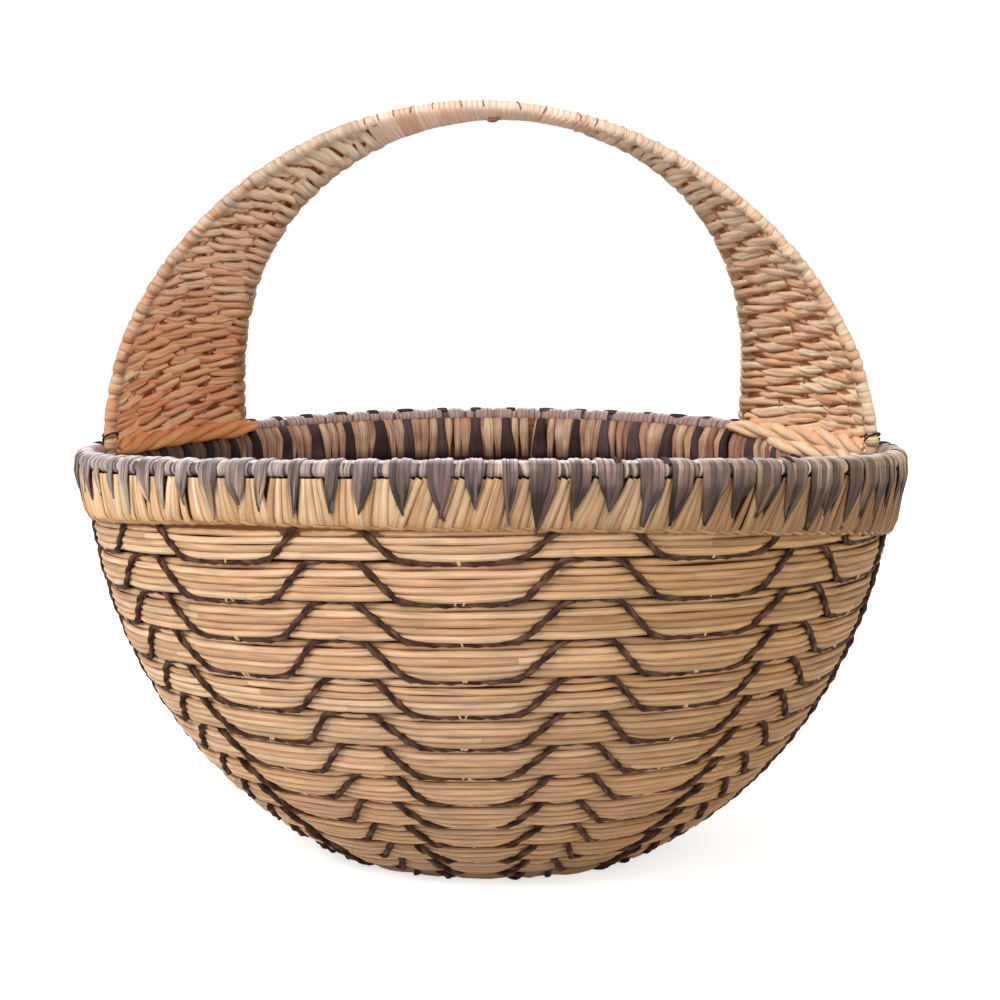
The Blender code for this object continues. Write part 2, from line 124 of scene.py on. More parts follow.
# Straws of the coil: five lie side by side on each face of a row, the lower edge lapping over the next row
STRAW_SHARES = (0.14, 0.32, 0.50, 0.68, 0.86)
STRAW_HALF_WIDTH = 0.00158
STRAW_HALF_THICKNESS = 0.00110
STRAW_STEP = 0.0052
INSIDE_STRAW_STEP = 0.0090
STRAW_LENGTHS = (0.16, 0.40)
STRAW_TIP_STATIONS = 3
STRAW_TIP_DIP = 0.0011
STRAW_TIP_SHARE = 0.4
STRAW_SIZE_SHARES = (0.86, 1.16)
LOW_EDGE_DROP = 0.0010
HIGH_EDGE_DROP = 0.0022
EDGE_DROP_POWER = 2.2
ROW_SWELL = 0.0007
PINCH_DEPTH = 0.0006
PINCH_WIDTH = 0.0045
SHINGLE = 0.0006
PETAL_SAG = 0.0009
WOBBLE_LENGTHS = (0.034, 0.061, 0.097, 0.150)
STRAW_WANDER = 0.00034
STRAW_RIPPLE = 0.00022
CORE_DEPTH = 0.0042
CORE_HALF_THICKNESS = 0.0022
CORE_WIDTH_SHARE = 0.60
HEART_STRAWS = 4
HEART_SPACING = 0.0023
HEART_BACK = 0.0036
HEART_MIDDLE = 0.0014
HEART_REACH = 0.0058
HEART_END_SHARES = (0.8, 1.0)
HEART_HEIGHTS = (0.0021, 0.0043, 0.0064)
HEART_STATIONS = 6

# Binding cord: two strands laid round each other, sunk into the grooves and lying over the rows' faces
LAY_OFFSET = 0.00055
LAY_STRAND_RADIUS = 0.00090
LAY_PITCH = 0.0150
CORD_OVER_ROW = 0.0002
CORD_AT_CORNER = -0.0001
CORD_AT_TOP_CORNER = -0.0009
CORD_GROOVE_LENGTHS = (0.06, 0.10, 0.135, 0.155)
CORD_UNDER_PETALS = (-0.0033, -0.0026, -0.0019, -0.0011)
CORD_BETWEEN_PETALS = (-0.0050, -0.0046, -0.0032, -0.0021)
CORD_UNDER_EDGE = 0.0001
CORD_EDGE_POWER = 3
CORD_LOW_POWER = 1.5
CORD_HIGH_POWER = 2
CORD_FACE_POWER = 4
CORD_PIECES = 8
INSIDE_CORD_PIECES = 6
CORD_JITTER = 0.0009
CORD_START_RADIUS = 0.030
CORD_MOTTLE = 700
CORD_MOTTLE_WANDER = 3
INSIDE_CORD_RADIUS = 0.0010
TICK_RADIUS = 0.00050
TICK_FROM_SHARE = 1 / 3
TICK_STATIONS = 5
TICK_COUNTS = (1, 4)
TICK_REACH = 0.0016
TICK_REACH_SHARES = (0.7, 1.2)
TICK_TILT = 0.3
TICK_SPREAD = 0.0009
TICK_DEPTH = 0.0007

# Rim strips and teeth: four dark strips make a tooth, and pale ones are wound between the teeth. Places along
# a strip count in degrees, from below the rim's inside over its top and outside to the tooth's end.
RIM_CORE_INSET = 0.0005
RING_STATIONS = 181
RIGHT_FROM = -0.15
RIGHT_FADE = 0.75
STRIP_THICKNESS = 0.00040
STRIP_STATIONS = 12
HANGING_STATIONS = 7
STRIP_TURNS = (215, -10)
WRAP_TURNS = (215, -62)
TOOTH_PITCH = TURN * RIM_RADIUS / TEETH
TOOTH_STRIPS = 4
TOOTH_SIZES = ((0.56, 1.24), (1.22, 1.60))
TOOTH_START_SHARE = 0.1
TOOTH_STRIP_HALF_WIDTH = 0.00115
TOOTH_STRIP_SPACING = 0.00175
TOOTH_JITTER = 0.0010
TOOTH_SLANT = 0.0050
TOOTH_LIFTS = (0.0005, 0.0010)
TOOTH_SIDES = (-0.7, 0.0, 0.7)
TOOTH_REACHES = (0.72, 0.98, 1.16)
TOOTH_REACH_SPREAD = (0.70, 1.18)
TOOTH_DROP_SHARES = (0.62, 1.0)
TOOTH_GATHER_POWER = 1.3
TOOTH_SHOULDER_SHARE = 1.1
TOOTH_TAPER_SHARE = 0.80
TOOTH_END_SHADES = (0.64, 1.60)
TOOTH_FACE_SHADES = (0.68, 1.36)
WRAPS_ON_LEFT = 6
WRAPS_ON_RIGHT = 4
WRAP_PLACES = (0.1, 0.9)
WRAP_HALF_WIDTHS = (0.0006, 0.0016)
WRAP_LIFTS = (0.00010, 0.00035)
RIDGE_TURNS = (math.radians(72), math.radians(104))
RIDGE_HALF_WIDTH = 0.0013

# Band straws: fans of four between the teeth, over a lower edge that rises and falls a little and leans in
BAND_LEAN = 0.0034
BAND_LEAN_LIMIT = 1.2
BAND_LEAN_POWER = 1.5
BAND_DROP_ANGLES = (-180, -110, -72, -34, -14, 19, 50, 72, 100, 180)
BAND_DROPS = (0.0, 0.0010, 0.0008, -0.0029, -0.0020, -0.0008, 0.0026, 0.0066, 0.0052, 0.0)
FAN_STRAWS = 4
FAN_SIDES = (-0.5, 0, 0.5)
FAN_TOP_SHARES = (0.66, 0.88, 0.34)
FAN_TOP_SPREAD = 0.06
FAN_FOOT_SHARE = 1.10
FAN_SLANT = 0.0062
FAN_SLANT_FADE = 0.35
FAN_PIVOT_SHARE = 0.35
FAN_JITTER = 0.0015
FAN_JITTER_ON_LEFT = 1.6
FAN_WIDTH_SHARES = (0.86, 1.2)
STRAW_JITTER = 0.0005
FAN_THICKNESS = 0.00062
FAN_LAYER = 0.00018
FAN_OVERLAP = 0.64
FAN_STATIONS = 6
EDGE_STATIONS = 3
CORE_INSET = 0.0018
BEAD_RADIUS = 0.00080
BEAD_STRANDS = 2
BEAD_SPREAD_SHARE = 0.7
BEAD_STATIONS = 12 * TEETH
BEAD_PITCH = 0.014

# Bars on the band's inside: a broad dark one and some narrow pale ones, again and again
BAR_GROUPS = 60
BAR_STATIONS = 10
PALE_BAR_PLACES = (0.24, 0.50, 0.76)
DARK_BAR_HALF_WIDTHS = (0.0032, 0.0045)
PALE_BAR_HALF_WIDTHS = (0.0019, 0.0031)
BAR_HALF_THICKNESS = 0.0012
BAR_TOP_SHARE = 0.12
BAR_FOOT_FROM = 0.8
DARK_BAR_TOP_SHARE = 0.60
PALE_BAR_WAIST_SHARE = 0.12
BLOTCH_TURNS = (4, 9)
BLOTCH_STARTS = (0, 6)
BAR_BOTTOM = 0.0026
BAR_FOOT_TUCK = 0.0022
BAR_TOP_TUCK = 0.0042
BAR_RISE = 0.0018
BAR_FOOT_SHADE = 0.40
BAR_SHADE_FROM = 0.55
UNDER_HANDLE_SHADE = 0.50
UNDER_HANDLE_FROM = 0.66
UNDER_HANDLE_FADE = 0.14
CAP_HALF_WIDTH = 0.0036
CAP_LIFT = 0.0012
CAP_TURNS = (128, 38)
CAP_BULGE_SHARES = (0.15, 0.85)
CAP_WIDTH_SHARES = (0.7, 1.15)
FRONT_CAP_SIZE = 0.45
FRONT_CAPS_SHARE = 0.5

# Weave of the handle
ROW_PITCH = 0.0042
GRAIN_LENGTHS = (0.0235, 0.0290)
GRAIN_OUT = 0.00115
GRAIN_RISE = 0.0015
GRAIN_STEP = 0.0024
GRAIN_STATIONS = 6
GRAIN_START_SPREAD = 0.5
GRAIN_LENGTH_SHARES = (0.85, 1.2)
GRAIN_SIZE_SHARES = (0.86, 1.22)
GRAIN_SWELL = (0.80, 0.25)
GRAIN_SHARPNESS = 4
RISE_WOBBLE = 2
OUT_WOBBLE = 3
GRAIN_FIBRES = 2
FIBRE_SPREAD = 0.00062
FIBRE_DEPTH = 0.00020
FIBRE_HALF_WIDTH = 0.00156
FIBRE_HALF_THICKNESS = 0.00098
FIBRE_PITCH = 0.080
GRAIN_WANDER = 0.00058
EDGE_REACH = 0.006
BACKING_HALF_WIDTH = 0.0034
BACKING_HALF_THICKNESS = 0.0004
EDGE_WRAP_RADIUS = HOOP_RADIUS + 0.0005
EDGE_WRAP_TURN = math.radians(125)
EDGE_WRAP_STATIONS = 4
EDGE_THINNING = 0.40
EDGE_WIDENING = 0.34
# Painted shade on the weave and the fine windings at the hoops, for the left and the right panel
HOOP_EDGE_PAINTED_SHADES = (0.80, 0.88)
EDGE_WRAP_LAST = math.radians(60)

# Windings of the two hoops, and the rings, nicks and knotted end at the top
FINE_PITCH = 0.0036
WINDING_THICKNESS = 0.00026
WINDING_WIDTH_SHARE = 0.54
WINDING_WANDER = 0.06
BROAD_PITCH = 0.0078
WINDING_STATIONS = 12
FLANK_STATIONS = 120
SHOULDER_STATIONS = 60
TOP_SEAMS = (72.5, 75.5, 80.0, 84.5, 89.5, 93.0, 97.0, 100.0, 103.0, 105.5, 107.5)
TOP_STATIONS = 40
TOP_FLATNESS = 2.2
TOP_RING_STEP = 0.0026
TOP_RING_SHARE = 0.8
TOP_THICKNESS = 0.00030
TOP_COVER = 0.00030
TOP_LAPS = (0.0, 0.00012)
NICK_TURNS = (TURN * 0.34, TURN * 0.60)
NICK_STATIONS = 9
NICK_RADIUS = 0.00028
NICK_LIFT = 0.00015
NUB_RADIUS = 0.0015
NUB_HALF_WIDTH = 0.00105
NUB_PATH_SHARES = ((-1, 0, 0), (0, 0, -0.3), (1, 0, -0.2), (2, 0, 0.5))
NUB_DROP = 0.0050
NUB_SHIFT = 0.0042

# Rolls and lashings at the handle's feet
ROLL_STRANDS = 3
ROLL_STRAND_OFFSET = 0.0023
ROLL_STRAND_RADIUS = 0.0022
ROLL_PITCH = 0.060
ROLL_RADIUS = 0.0045
ROLL_END_STATIONS = 8
ROLL_END_SHARE = 0.55
ROLL_WIDTH_SHARE = 1.12
ROLL_WANDER = 0.10
LOWER_ROLL_DROP = 0.0056
LOWER_ROLL_STATIONS = 46
ROLL_OVERRUN = math.radians(2.5)
ROLL_STATIONS = 60
LASHING_RADIUS = 0.0005
LASHING_TURNS = 1.6
LASHING_PITCH = 0.0017
LASHING_TILT = 0.0016
LASHING_TILT_TURN = 1
LASHING_STATIONS = 48

# Colours on screen
STRAWS = ((208, 171, 139), (199, 162, 128), (188, 151, 118),
          (211, 180, 150), (197, 157, 120), (178, 139, 106))
# Painted light: the straws and the band are coloured lighter on the left and darker, yellower on the right
SIDE_PLACES = (-0.9, 0, 0.9)
STRAW_PAINTED_SIDE_LIGHT = ((1.07, 1.07, 1.06), (1.0, 1.0, 1.0), (0.84, 0.78, 0.61))
BAND_PAINTED_SIDE_LIGHT = ((1.20, 1.22, 1.22), (1.0, 1.0, 1.0), (0.71, 0.64, 0.52))
STRAW_SHADOW = (88, 56, 38)
CORD_TONES = (((112, 84, 68), (68, 44, 36)), ((88, 62, 50), (50, 31, 26)))
CORD_SHADE = (68, 45, 38)
TICK_TONES = ((196, 164, 116), (206, 172, 134))
RIM_ROD = (100, 90, 92)
# Painted highlight along the rim's top, brighter on the left and front than on the right
RIM_TOP_HIGHLIGHTS = (((250, 240, 242), (236, 224, 228)),
            ((250, 238, 244), (232, 220, 226)),
            ((232, 218, 206), (206, 192, 180)))
RIM_PALES = (((184, 172, 168), (164, 152, 150), (198, 188, 184)),
             ((168, 148, 146), (196, 172, 156), (146, 128, 126)),
             ((216, 194, 166), (186, 162, 138), (226, 206, 180)))
RIM_FACES = (((158, 148, 146), (134, 122, 122)),
             ((126, 108, 106), (108, 90, 88)),
             ((176, 154, 132), (142, 120, 100)))
RIM_INSIDE = (176, 150, 142)
TOOTH_ENDS = (((140, 126, 112), (152, 130, 112), (108, 104, 104), (190, 166, 136)),
              ((58, 50, 52), (76, 53, 48), (54, 57, 66), (88, 68, 60)),
              ((70, 52, 40), (48, 36, 30), (92, 74, 55), (58, 48, 42)))
RIM_MARKS = (-215, -122, -108, -68, -42, -2, 45, 110)
TOOTH_MARK = 110
BAND_TONES = ((199, 169, 136), (191, 158, 123), (183, 146, 111), (203, 176, 146), (173, 134, 100))
# Painted shade: the band straws turn browner towards the lower edge, where they fold under
BAND_FOOT_SHADE_TONE = (172, 126, 82)
BAND_FOOT_SHARE = 0.45
BAND_FOOT_POWER = 4
BEAD_TONES = ((176, 132, 86), (156, 110, 68), (188, 148, 104))
BAND_SHADOW = (120, 80, 52)
BAR_DARK = ((70, 53, 55), (55, 39, 40), (92, 74, 76))
BAR_PALE = ((202, 164, 137), (187, 146, 125), (155, 113, 95), (211, 178, 151))
# Painted light and shade: the left panel's weave is coloured as straw in shade, the right panel's as the same
# straw in light
SHADED_LEFT_WEAVE = ((255, 194, 150), (244, 172, 126), (255, 208, 170), (228, 152, 106), (252, 188, 140))
LIT_RIGHT_WEAVE = ((255, 222, 190), (253, 208, 170), (255, 230, 202), (240, 186, 144), (255, 214, 178))
# Painted light: the colour the weave pales to towards the top of the handle
HIGH_WEAVE_PAINTED_LIGHT = (255, 228, 204)
# Painted shade: dark strips behind the rows, which show in the gaps between strands, darker on the left
LEFT_GAP_SHADE = (146, 88, 55)
RIGHT_GAP_SHADE = (192, 133, 94)
# Painted light and shade: the left roll is coloured as straw in shade, the right roll as the same straw in
# light
SHADED_LEFT_ROLL_TONES = ((248, 172, 114), (224, 148, 92), (254, 190, 134))
LIT_RIGHT_ROLL_TONES = ((254, 220, 186), (248, 206, 168), (255, 226, 196))
WINDING_TONES = ((236, 202, 180), (226, 188, 166), (240, 210, 190), (220, 180, 154))
NICK_TONE = (136, 92, 72)
ROD_TAN = (190, 134, 96)
FLOOR_WHITE = (244, 244, 242)

# Surfaces: a fibre's scale along and across, contrast, roughness, bump and gloss. A layer of its noise has
# shares of the two scales and a level, then its detail, its range, and how much it darkens and lightens.
FIBRE_LAYERS = (
    ((1.0, 1.0, 1), 3.0, (0.32, 0.68), (-1.0, 0.8)),
    ((0.6, 0.8, 4), 1.0, (0.30, 0.40), (-1.6, 0.0)),
    ((1.6, 0.2, 8), 2.0, (0.30, 0.70), (-0.7, 0.5)),
)
FIBRES = {
    "straw_fibre": (45, 1250, 0.22, 0.60, 0.5, 0.30),
    "straw_shadow": (30, 1500, 0.25, 0.85, 0.3, 0.10),
    "dark_cord": (160, 2600, 0.30, 0.85, 0.6, 0.10),
    "rim_strip": (60, 1700, 0.32, 0.70, 0.6, 0.14),
    "band_straw": (60, 1700, 0.22, 0.62, 0.5, 0.25),
    "handle_weave": (60, 1700, 0.15, 0.55, 0.4, 0.30),
    "hoop_winding": (60, 1700, 0.15, 0.55, 0.4, 0.30),
}
ROUGHNESS_SPREAD = 0.1
ROUGH_RANGE = (0.3, 0.7)
FIBRE_RELIEF = 0.0006
CANE_GRAIN = 420.0
CANE_DETAIL = 4.0
CANE_STOPS = (0.35, 0.65)
CANE_SHARES = (0.62, 1.0)
CANE_ROUGHNESSES = (0.7, 0.5)
CANE_BUMP = 0.5
CANE_RELIEF = 0.0004

# Stage
FLOOR_SIZE = 12
FLOOR_DROP = 0.0003
FLOOR_GLOW = 0.66
FLOOR_ROUGHNESS = 0.9
LAMPS = (  # name, place, size, power and colour
    ("key", (-1.25, -1.45, 1.65), 1.2, 50, (1.0, 0.970, 0.935)),
    ("fill", (1.7, -1.3, 0.9), 2.2, 22, (1.0, 0.985, 0.965)),
)
LAMP_AIM = (0, 0, 0.14)
SKY_STRENGTH = 0.50
CAMERA_PLACE = (0.0036, -0.85, 0.2089)
FOCAL_PIXELS = 2035
HORIZON_PIXELS = 156
PICTURE_PIXELS = 1000
SENSOR_WIDTH = 36.0


def linear(colour):
    """A colour on screen as the linear values that a shader takes."""
    share = np.asarray(colour, float) / 255
    return np.where(share <= 0.04045, share / 12.92, ((share + 0.055) / 1.055) ** 2.4)


def unit(vectors):
    return vectors / np.maximum(np.linalg.norm(vectors, axis=-1, keepdims=True), 1e-12)


def run_along(path):
    """The length along a path at each of its points."""
    steps = np.linalg.norm(np.diff(path, axis=0), axis=1)
    return np.concatenate([[0], np.cumsum(steps)])


def eased(share):
    """A share from 0 to 1 that starts and ends gently."""
    share = np.clip(share, 0, 1)
    return share * share * (3 - 2 * share)


def settle(points):
    """Moves points of the ideal, round basket to where the hand-made rim's rise and droop take them."""
    across = points[:, 0] / RIM_RADIUS
    back = points[:, 1] / RIM_RADIUS
    over = points[:, 2] - BOWL_HEIGHT
    strength = eased(np.where(over <= 0, points[:, 2] / BOWL_HEIGHT, 1 - over / LIFT_FADE))
    moved = points.copy()
    moved[:, 2] += RIM_LIFT * strength * (back * back - across * across + back)
    return moved


def crosswise(path, outward):
    """The two directions across a strand: to its side, and out of the face that it lies on."""
    along = unit(np.gradient(path, axis=0))
    side = unit(np.cross(outward, along))
    return side, np.cross(along, side)


def swung(first, second, phase):
    """Directions that turn from the first towards the second as the phase grows."""
    return first * np.cos(phase)[..., None] + second * np.sin(phase)[..., None]


def from_ends(count, reach):
    """Rises from 0 at both ends of a strand to 1 within so many stations."""
    index = np.arange(count)
    return eased(np.minimum(index, index[::-1]) / reach)


class Strands:
    """Many tubes in one mesh, each with colours of its own, which painted shade deepens along its two edges.
    """

    def __init__(self, name, sides, painted_edge_shade, seed):
        self.name = name
        self.sides = sides
        self.dice = np.random.default_rng(seed)
        self.points = []
        self.faces = []
        self.maps = []
        self.colours = []
        self.count = 0
        self.turns = TURN * (np.arange(sides) + 0.5) / sides
        # Painted shade: the colour darkens towards the strand's two edges
        edge = np.abs(np.cos(self.turns)) ** EDGE_SHADE_POWER
        self.painted_edge_shades = 1 - (1 - np.asarray(painted_edge_shade)) * edge[:, None]

    def add(self, path, outward, half_width, half_thickness, colour):
        """A tube along a path. Its thickness lies along outward, and its width across that."""
        stations = len(path)
        side, up = crosswise(path, outward)
        width = np.broadcast_to(half_width, stations)[:, None, None]
        thickness = np.broadcast_to(half_thickness, stations)[:, None, None]
        swing = np.cos(self.turns)[None, :, None] * width
        rise = np.sin(self.turns)[None, :, None] * thickness
        rings = path[:, None, :] + side[:, None, :] * swing + up[:, None, :] * rise
        self.points.append(rings.reshape(-1, 3))
        self.add_faces(stations)
        self.add_maps(path, float(np.mean(half_width)))
        tones = np.broadcast_to(linear(colour), (stations, 3))
        self.colours.append((tones[:, None, :] * self.painted_edge_shades).reshape(-1, 3))
        self.count += stations * self.sides

    def add_faces(self, stations):
        """Four-sided faces round the tube, and a cap at each end."""
        sides = self.sides
        ring, side = np.meshgrid(np.arange(stations - 1), np.arange(sides), indexing="ij")
        after = (side + 1) % sides
        low = ring * sides
        high = low + sides
        walls = np.stack([low + side, low + after, high + after, high + side], axis=-1)
        self.faces.append(walls.reshape(-1, 4) + self.count)
        step = np.arange(sides // 2 - 1)
        cap = np.stack([step, step + 1, sides - 2 - step, sides - 1 - step], axis=-1)
        self.faces.append(cap[:, ::-1] + self.count)
        self.faces.append(cap + self.count + (stations - 1) * sides)

    def add_maps(self, path, half_width):
        """Lays the surface out in metres, along and round the strand, from a place of the strand's own."""
        lengths = run_along(path) + len(self.points) * MAP_SHIFT
        around = TURN * half_width / self.sides
        ring, side = np.meshgrid(np.arange(len(path) - 1), np.arange(self.sides), indexing="ij")
        ring = ring.ravel()
        side = side.ravel()
        along = np.stack([lengths[ring], lengths[ring], lengths[ring + 1], lengths[ring + 1]], axis=-1)
        across = np.stack([side, side + 1, side + 1, side], axis=-1) * around
        self.maps.append(np.stack([along, across], axis=-1).reshape(-1, 2))
        cap_corners = 4 * 2 * (self.sides // 2 - 1)
        self.maps.append(np.tile([lengths[0], 0], (cap_corners, 1)))

    def add_twist(self, path, outward, shape, tones, shade=1.0):
        """A strand of several fibres that turn slowly round its middle line."""
        fibres, spread, depth, half_width, half_thickness, pitch = shape
        side, up = crosswise(path, outward)
        run = run_along(path)
        start = self.dice.random()
        for number in range(fibres):
            phase = TURN * (run / pitch + number / fibres + start)
            tone = picked(tones, self.dice) * np.broadcast_to(shade, len(path))[:, None]
            offset = swung(side * spread, up * depth, phase)
            self.add(path + offset, outward, half_width, half_thickness, tone)

    def build(self, surface, replaced):
        """Makes the object, lets it ride on the part, and hides the CAD nodes that it replaces."""
        points = settle(np.concatenate(self.points))
        points[:, 2] = np.maximum(points[:, 2], 0)
        faces = np.concatenate(self.faces)
        mesh = bpy.data.meshes.new(self.name)
        mesh.vertices.add(len(points))
        mesh.vertices.foreach_set("co", points.ravel())
        mesh.loops.add(faces.size)
        mesh.loops.foreach_set("vertex_index", faces.ravel())
        mesh.polygons.add(len(faces))
        mesh.polygons.foreach_set("loop_start", np.arange(0, faces.size, 4))
        mesh.update(calc_edges=True)
        mesh.uv_layers.new(name="UVMap").data.foreach_set("uv", np.concatenate(self.maps).ravel())
        tones = np.concatenate(self.colours)
        shade = mesh.attributes.new("shade", "FLOAT_COLOR", "POINT")
        shade.data.foreach_set("color", np.column_stack([tones, np.ones(len(tones))]).ravel())
        mesh.shade_smooth()
        mesh.materials.append(surface)
        piece = bpy.data.objects.new(self.name, mesh)
        bpy.context.scene.collection.objects.link(piece)
        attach(piece, "root")
        if replaced:
            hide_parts(*replaced)


def wobble(lengths, dice):
    """A smooth wave with no steady period, between -1 and 1."""
    waves = [np.sin(TURN * (lengths / size + dice.random())) for size in WOBBLE_LENGTHS]
    return sum(waves) / len(waves)


def picked(tones, dice):
    """One of the tones, or a mix of two, a little lighter or darker."""
    first, second = dice.integers(0, len(tones), 2)
    share = dice.random()
    mixed = np.asarray(tones[first]) * share + np.asarray(tones[second]) * (1 - share)
    return np.clip(mixed * (1 + TONE_SPREAD * (2 * dice.random() - 1)), 0, 255)


def blended(first, second, share):
    """Colours between two, one for each share."""
    share = np.asarray(share)[:, None]
    return np.asarray(first) * (1 - share) + np.asarray(second) * share


def bowl_profile():
    """Length along the outside of the bowl, from the middle of the base, with its radius and height."""
    below = np.linspace(BOWL_HEIGHT + BASE_CUT, 0, PROFILE_SAMPLES)
    radius = np.concatenate([[0], WALL_RADIUS * np.sqrt(1 - (below / WALL_DEPTH) ** 2)])
    height = np.concatenate([[-BASE_CUT], BOWL_HEIGHT - below])
    length = np.concatenate([[0], np.cumsum(np.hypot(np.diff(radius), np.diff(height)))])
    return length, radius, height


PROFILE = bowl_profile()
BAND_LENGTH = float(np.interp(BAND_BOTTOM - SEAT_GAP, PROFILE[2], PROFILE[0]))
COIL_START = -TURN / 2
COIL_END = TURN * (BAND_LENGTH - COIL_END_HEIGHT) / ROW_HEIGHT


def on_profile(lengths):
    """Radius and height of the bowl's outside at a length along its profile."""
    return np.interp(lengths, PROFILE[0], PROFILE[1]), np.interp(lengths, PROFILE[0], PROFILE[2])


def outward_at(lengths):
    """The direction out of the bowl, as its radial and its upward share."""
    low_radius, low_height = on_profile(lengths - ROW_HEIGHT / 2)
    high_radius, high_height = on_profile(lengths + ROW_HEIGHT / 2)
    along = unit(np.stack([high_radius - low_radius, high_height - low_height], axis=-1))
    return along[..., 1], -along[..., 0]


def round_points(angles, radii, heights):
    """Points round the bowl's axis."""
    return np.stack([radii * np.sin(angles), -radii * np.cos(angles), heights + 0 * angles], axis=-1)


def level_out(angles):
    """The level directions away from the bowl's axis."""
    return round_points(angles, 1, 0)


def straight_up(count):
    return np.tile([0.0, 0.0, 1.0], (count, 1))


def bowl_points(angles, lengths, outs):
    """Points beside the bowl's outside, with the direction out of the bowl at each."""
    radii, heights = on_profile(lengths)
    out_radial, out_up = outward_at(lengths)
    points = round_points(angles, radii + out_radial * outs, heights + out_up * outs)
    return points, round_points(angles, out_radial, out_up)


def row_edges(angles):
    """Where the coil's row begins and ends on the profile at each angle."""
    low = ROW_HEIGHT * angles / TURN
    return np.maximum(low, COIL_HEART_RADIUS), np.minimum(low + ROW_HEIGHT, BAND_LENGTH)


def coil_angles(step):
    """Angles along the coil with about the same length of straw between them."""
    widest_step = COLUMN / 3
    angles = [COIL_START]
    while angles[-1] < COIL_END:
        radius = float(on_profile(ROW_HEIGHT * (angles[-1] / TURN + 0.5))[0])
        angles.append(angles[-1] + min(widest_step, step / max(radius, step)))
    return np.array(angles)


def column_offset(angles):
    """How far an angle lies from the middle of its column of stitches, in columns."""
    place = (angles - STITCH_COLUMN_TURN) / COLUMN
    return place - np.round(place)


def painted_side_light(angles, shares):
    """Painted light: what is left of red, green and blue at each angle, given for the left, the front and the
    right.
    """
    across = np.sin(angles)
    return np.stack([np.interp(across, SIDE_PLACES, channel) for channel in zip(*shares)], axis=-1)


def straw_lane(angles, share, inside, dice):
    """The middle line of one straw's place in the coil, all the way from the base to the band."""
    low, high = row_edges(angles)
    radii = on_profile((low + high) / 2)[0]
    run = np.cumsum(np.gradient(angles) * np.maximum(radii, COIL_HEART_RADIUS))
    offset = np.abs(column_offset(angles))
    stroke = STITCH_FOOT_SHARE + (STITCH_TOP_SHARE - STITCH_FOOT_SHARE) * share
    pinch = np.exp(-((offset - stroke) * COLUMN * radii / PINCH_WIDTH) ** 2)
    petal = np.clip(1 - (offset / stroke) ** 2, 0, 1)
    across = 2 * share - 1
    thin = (high - low) / ROW_HEIGHT
    if not inside:
        thin = np.where(high < BAND_LENGTH, thin, 1)
    lengths = low + (high - low) * share - PETAL_SAG * (1 - share) * petal * thin
    lengths = lengths + STRAW_WANDER * wobble(run, dice) * thin
    if not inside:
        lengths = np.where(high < BAND_LENGTH, lengths, lengths + (low + ROW_HEIGHT - high) * share)
    drop = LOW_EDGE_DROP if across < 0 else HIGH_EDGE_DROP
    depth = STRAW_HALF_THICKNESS + drop * abs(across) ** EDGE_DROP_POWER
    depth = depth - ROW_SWELL * (1 - pinch) + PINCH_DEPTH * pinch
    depth = depth + STRAW_RIPPLE * wobble(run, dice)
    outs = depth - COIL_THICKNESS if inside else -depth - SHINGLE * across
    points, outward = bowl_points(angles, lengths, outs)
    return points, (-outward if inside else outward), thin, run, painted_side_light(angles, STRAW_PAINTED_SIDE_LIGHT)


def add_straws(strands, lane):
    """Lays straws of different lengths end to end along a lane, with their tips tucked in."""
    dice = strands.dice
    points, outward, thin, run, sides = lane
    start = 0
    while start < len(points) - 2 * STRAW_TIP_STATIONS:
        reach = run[start] + dice.uniform(*STRAW_LENGTHS)
        stop = min(len(points), max(int(np.searchsorted(run, reach)), start + 3 * STRAW_TIP_STATIONS))
        if len(points) - stop < 3 * STRAW_TIP_STATIONS:
            stop = len(points)
        part = slice(max(0, start - 2 * STRAW_TIP_STATIONS), stop)
        ends = from_ends(stop - part.start, STRAW_TIP_STATIONS)
        path = points[part] - outward[part] * (STRAW_TIP_DIP * (1 - ends))[:, None]
        tip = STRAW_TIP_SHARE + (1 - STRAW_TIP_SHARE) * ends
        size = thin[part] * tip * dice.uniform(*STRAW_SIZE_SHARES)
        # Painted light: the straw's colour is lighter on the left and darker on the right
        tones = np.clip(picked(STRAWS, dice) * sides[part], 0, 255)
        strands.add(path, outward[part], STRAW_HALF_WIDTH * size, STRAW_HALF_THICKNESS * size, tones)
        start = stop


def coil_straws(strands, inside, step):
    """The straws of the whole coil, as they show on the outside or on the inside of the bowl."""
    angles = coil_angles(step)
    for share in STRAW_SHARES:
        add_straws(strands, straw_lane(angles, share, inside, strands.dice))


def coil_core(strands):
    """The shaded heart of the bundle, which shows only as dark lines between straws and rows."""
    angles = coil_angles(INSIDE_STRAW_STEP)
    low, high = row_edges(angles)
    points, outward = bowl_points(angles, (low + high) / 2, -CORE_DEPTH)
    strands.add(points, outward, (high - low) * CORE_WIDTH_SHARE, CORE_HALF_THICKNESS, STRAW_SHADOW)


def coil_heart(strands):
    """The bundle's cut end, which lies across the middle of the base and closes it."""
    dice = strands.dice
    upward = straight_up(HEART_STATIONS)
    for height, number in itertools.product(HEART_HEIGHTS, range(HEART_STRAWS)):
        across = HEART_BACK + (number - HEART_STRAWS / 2) * HEART_SPACING
        reach = np.linspace(-1, dice.uniform(*HEART_END_SHARES), HEART_STATIONS) * HEART_REACH
        bend = dice.normal() * STRAW_WANDER * np.cos(reach / HEART_REACH)
        path = np.stack([HEART_MIDDLE + reach, across + bend, height + 0 * reach], axis=-1)
        strands.add(path, upward, STRAW_HALF_WIDTH, STRAW_HALF_THICKNESS, picked(STRAWS, dice))


def smoothed(values, reach):
    """Values averaged over their neighbours, so that corners turn into bends."""
    window = np.hanning(2 * reach + 3)[1:-1]
    window /= window.sum()
    padded = np.concatenate([np.full(reach, values[0]), values, np.full(reach, values[-1])])
    return np.convolve(padded, window, mode="valid")


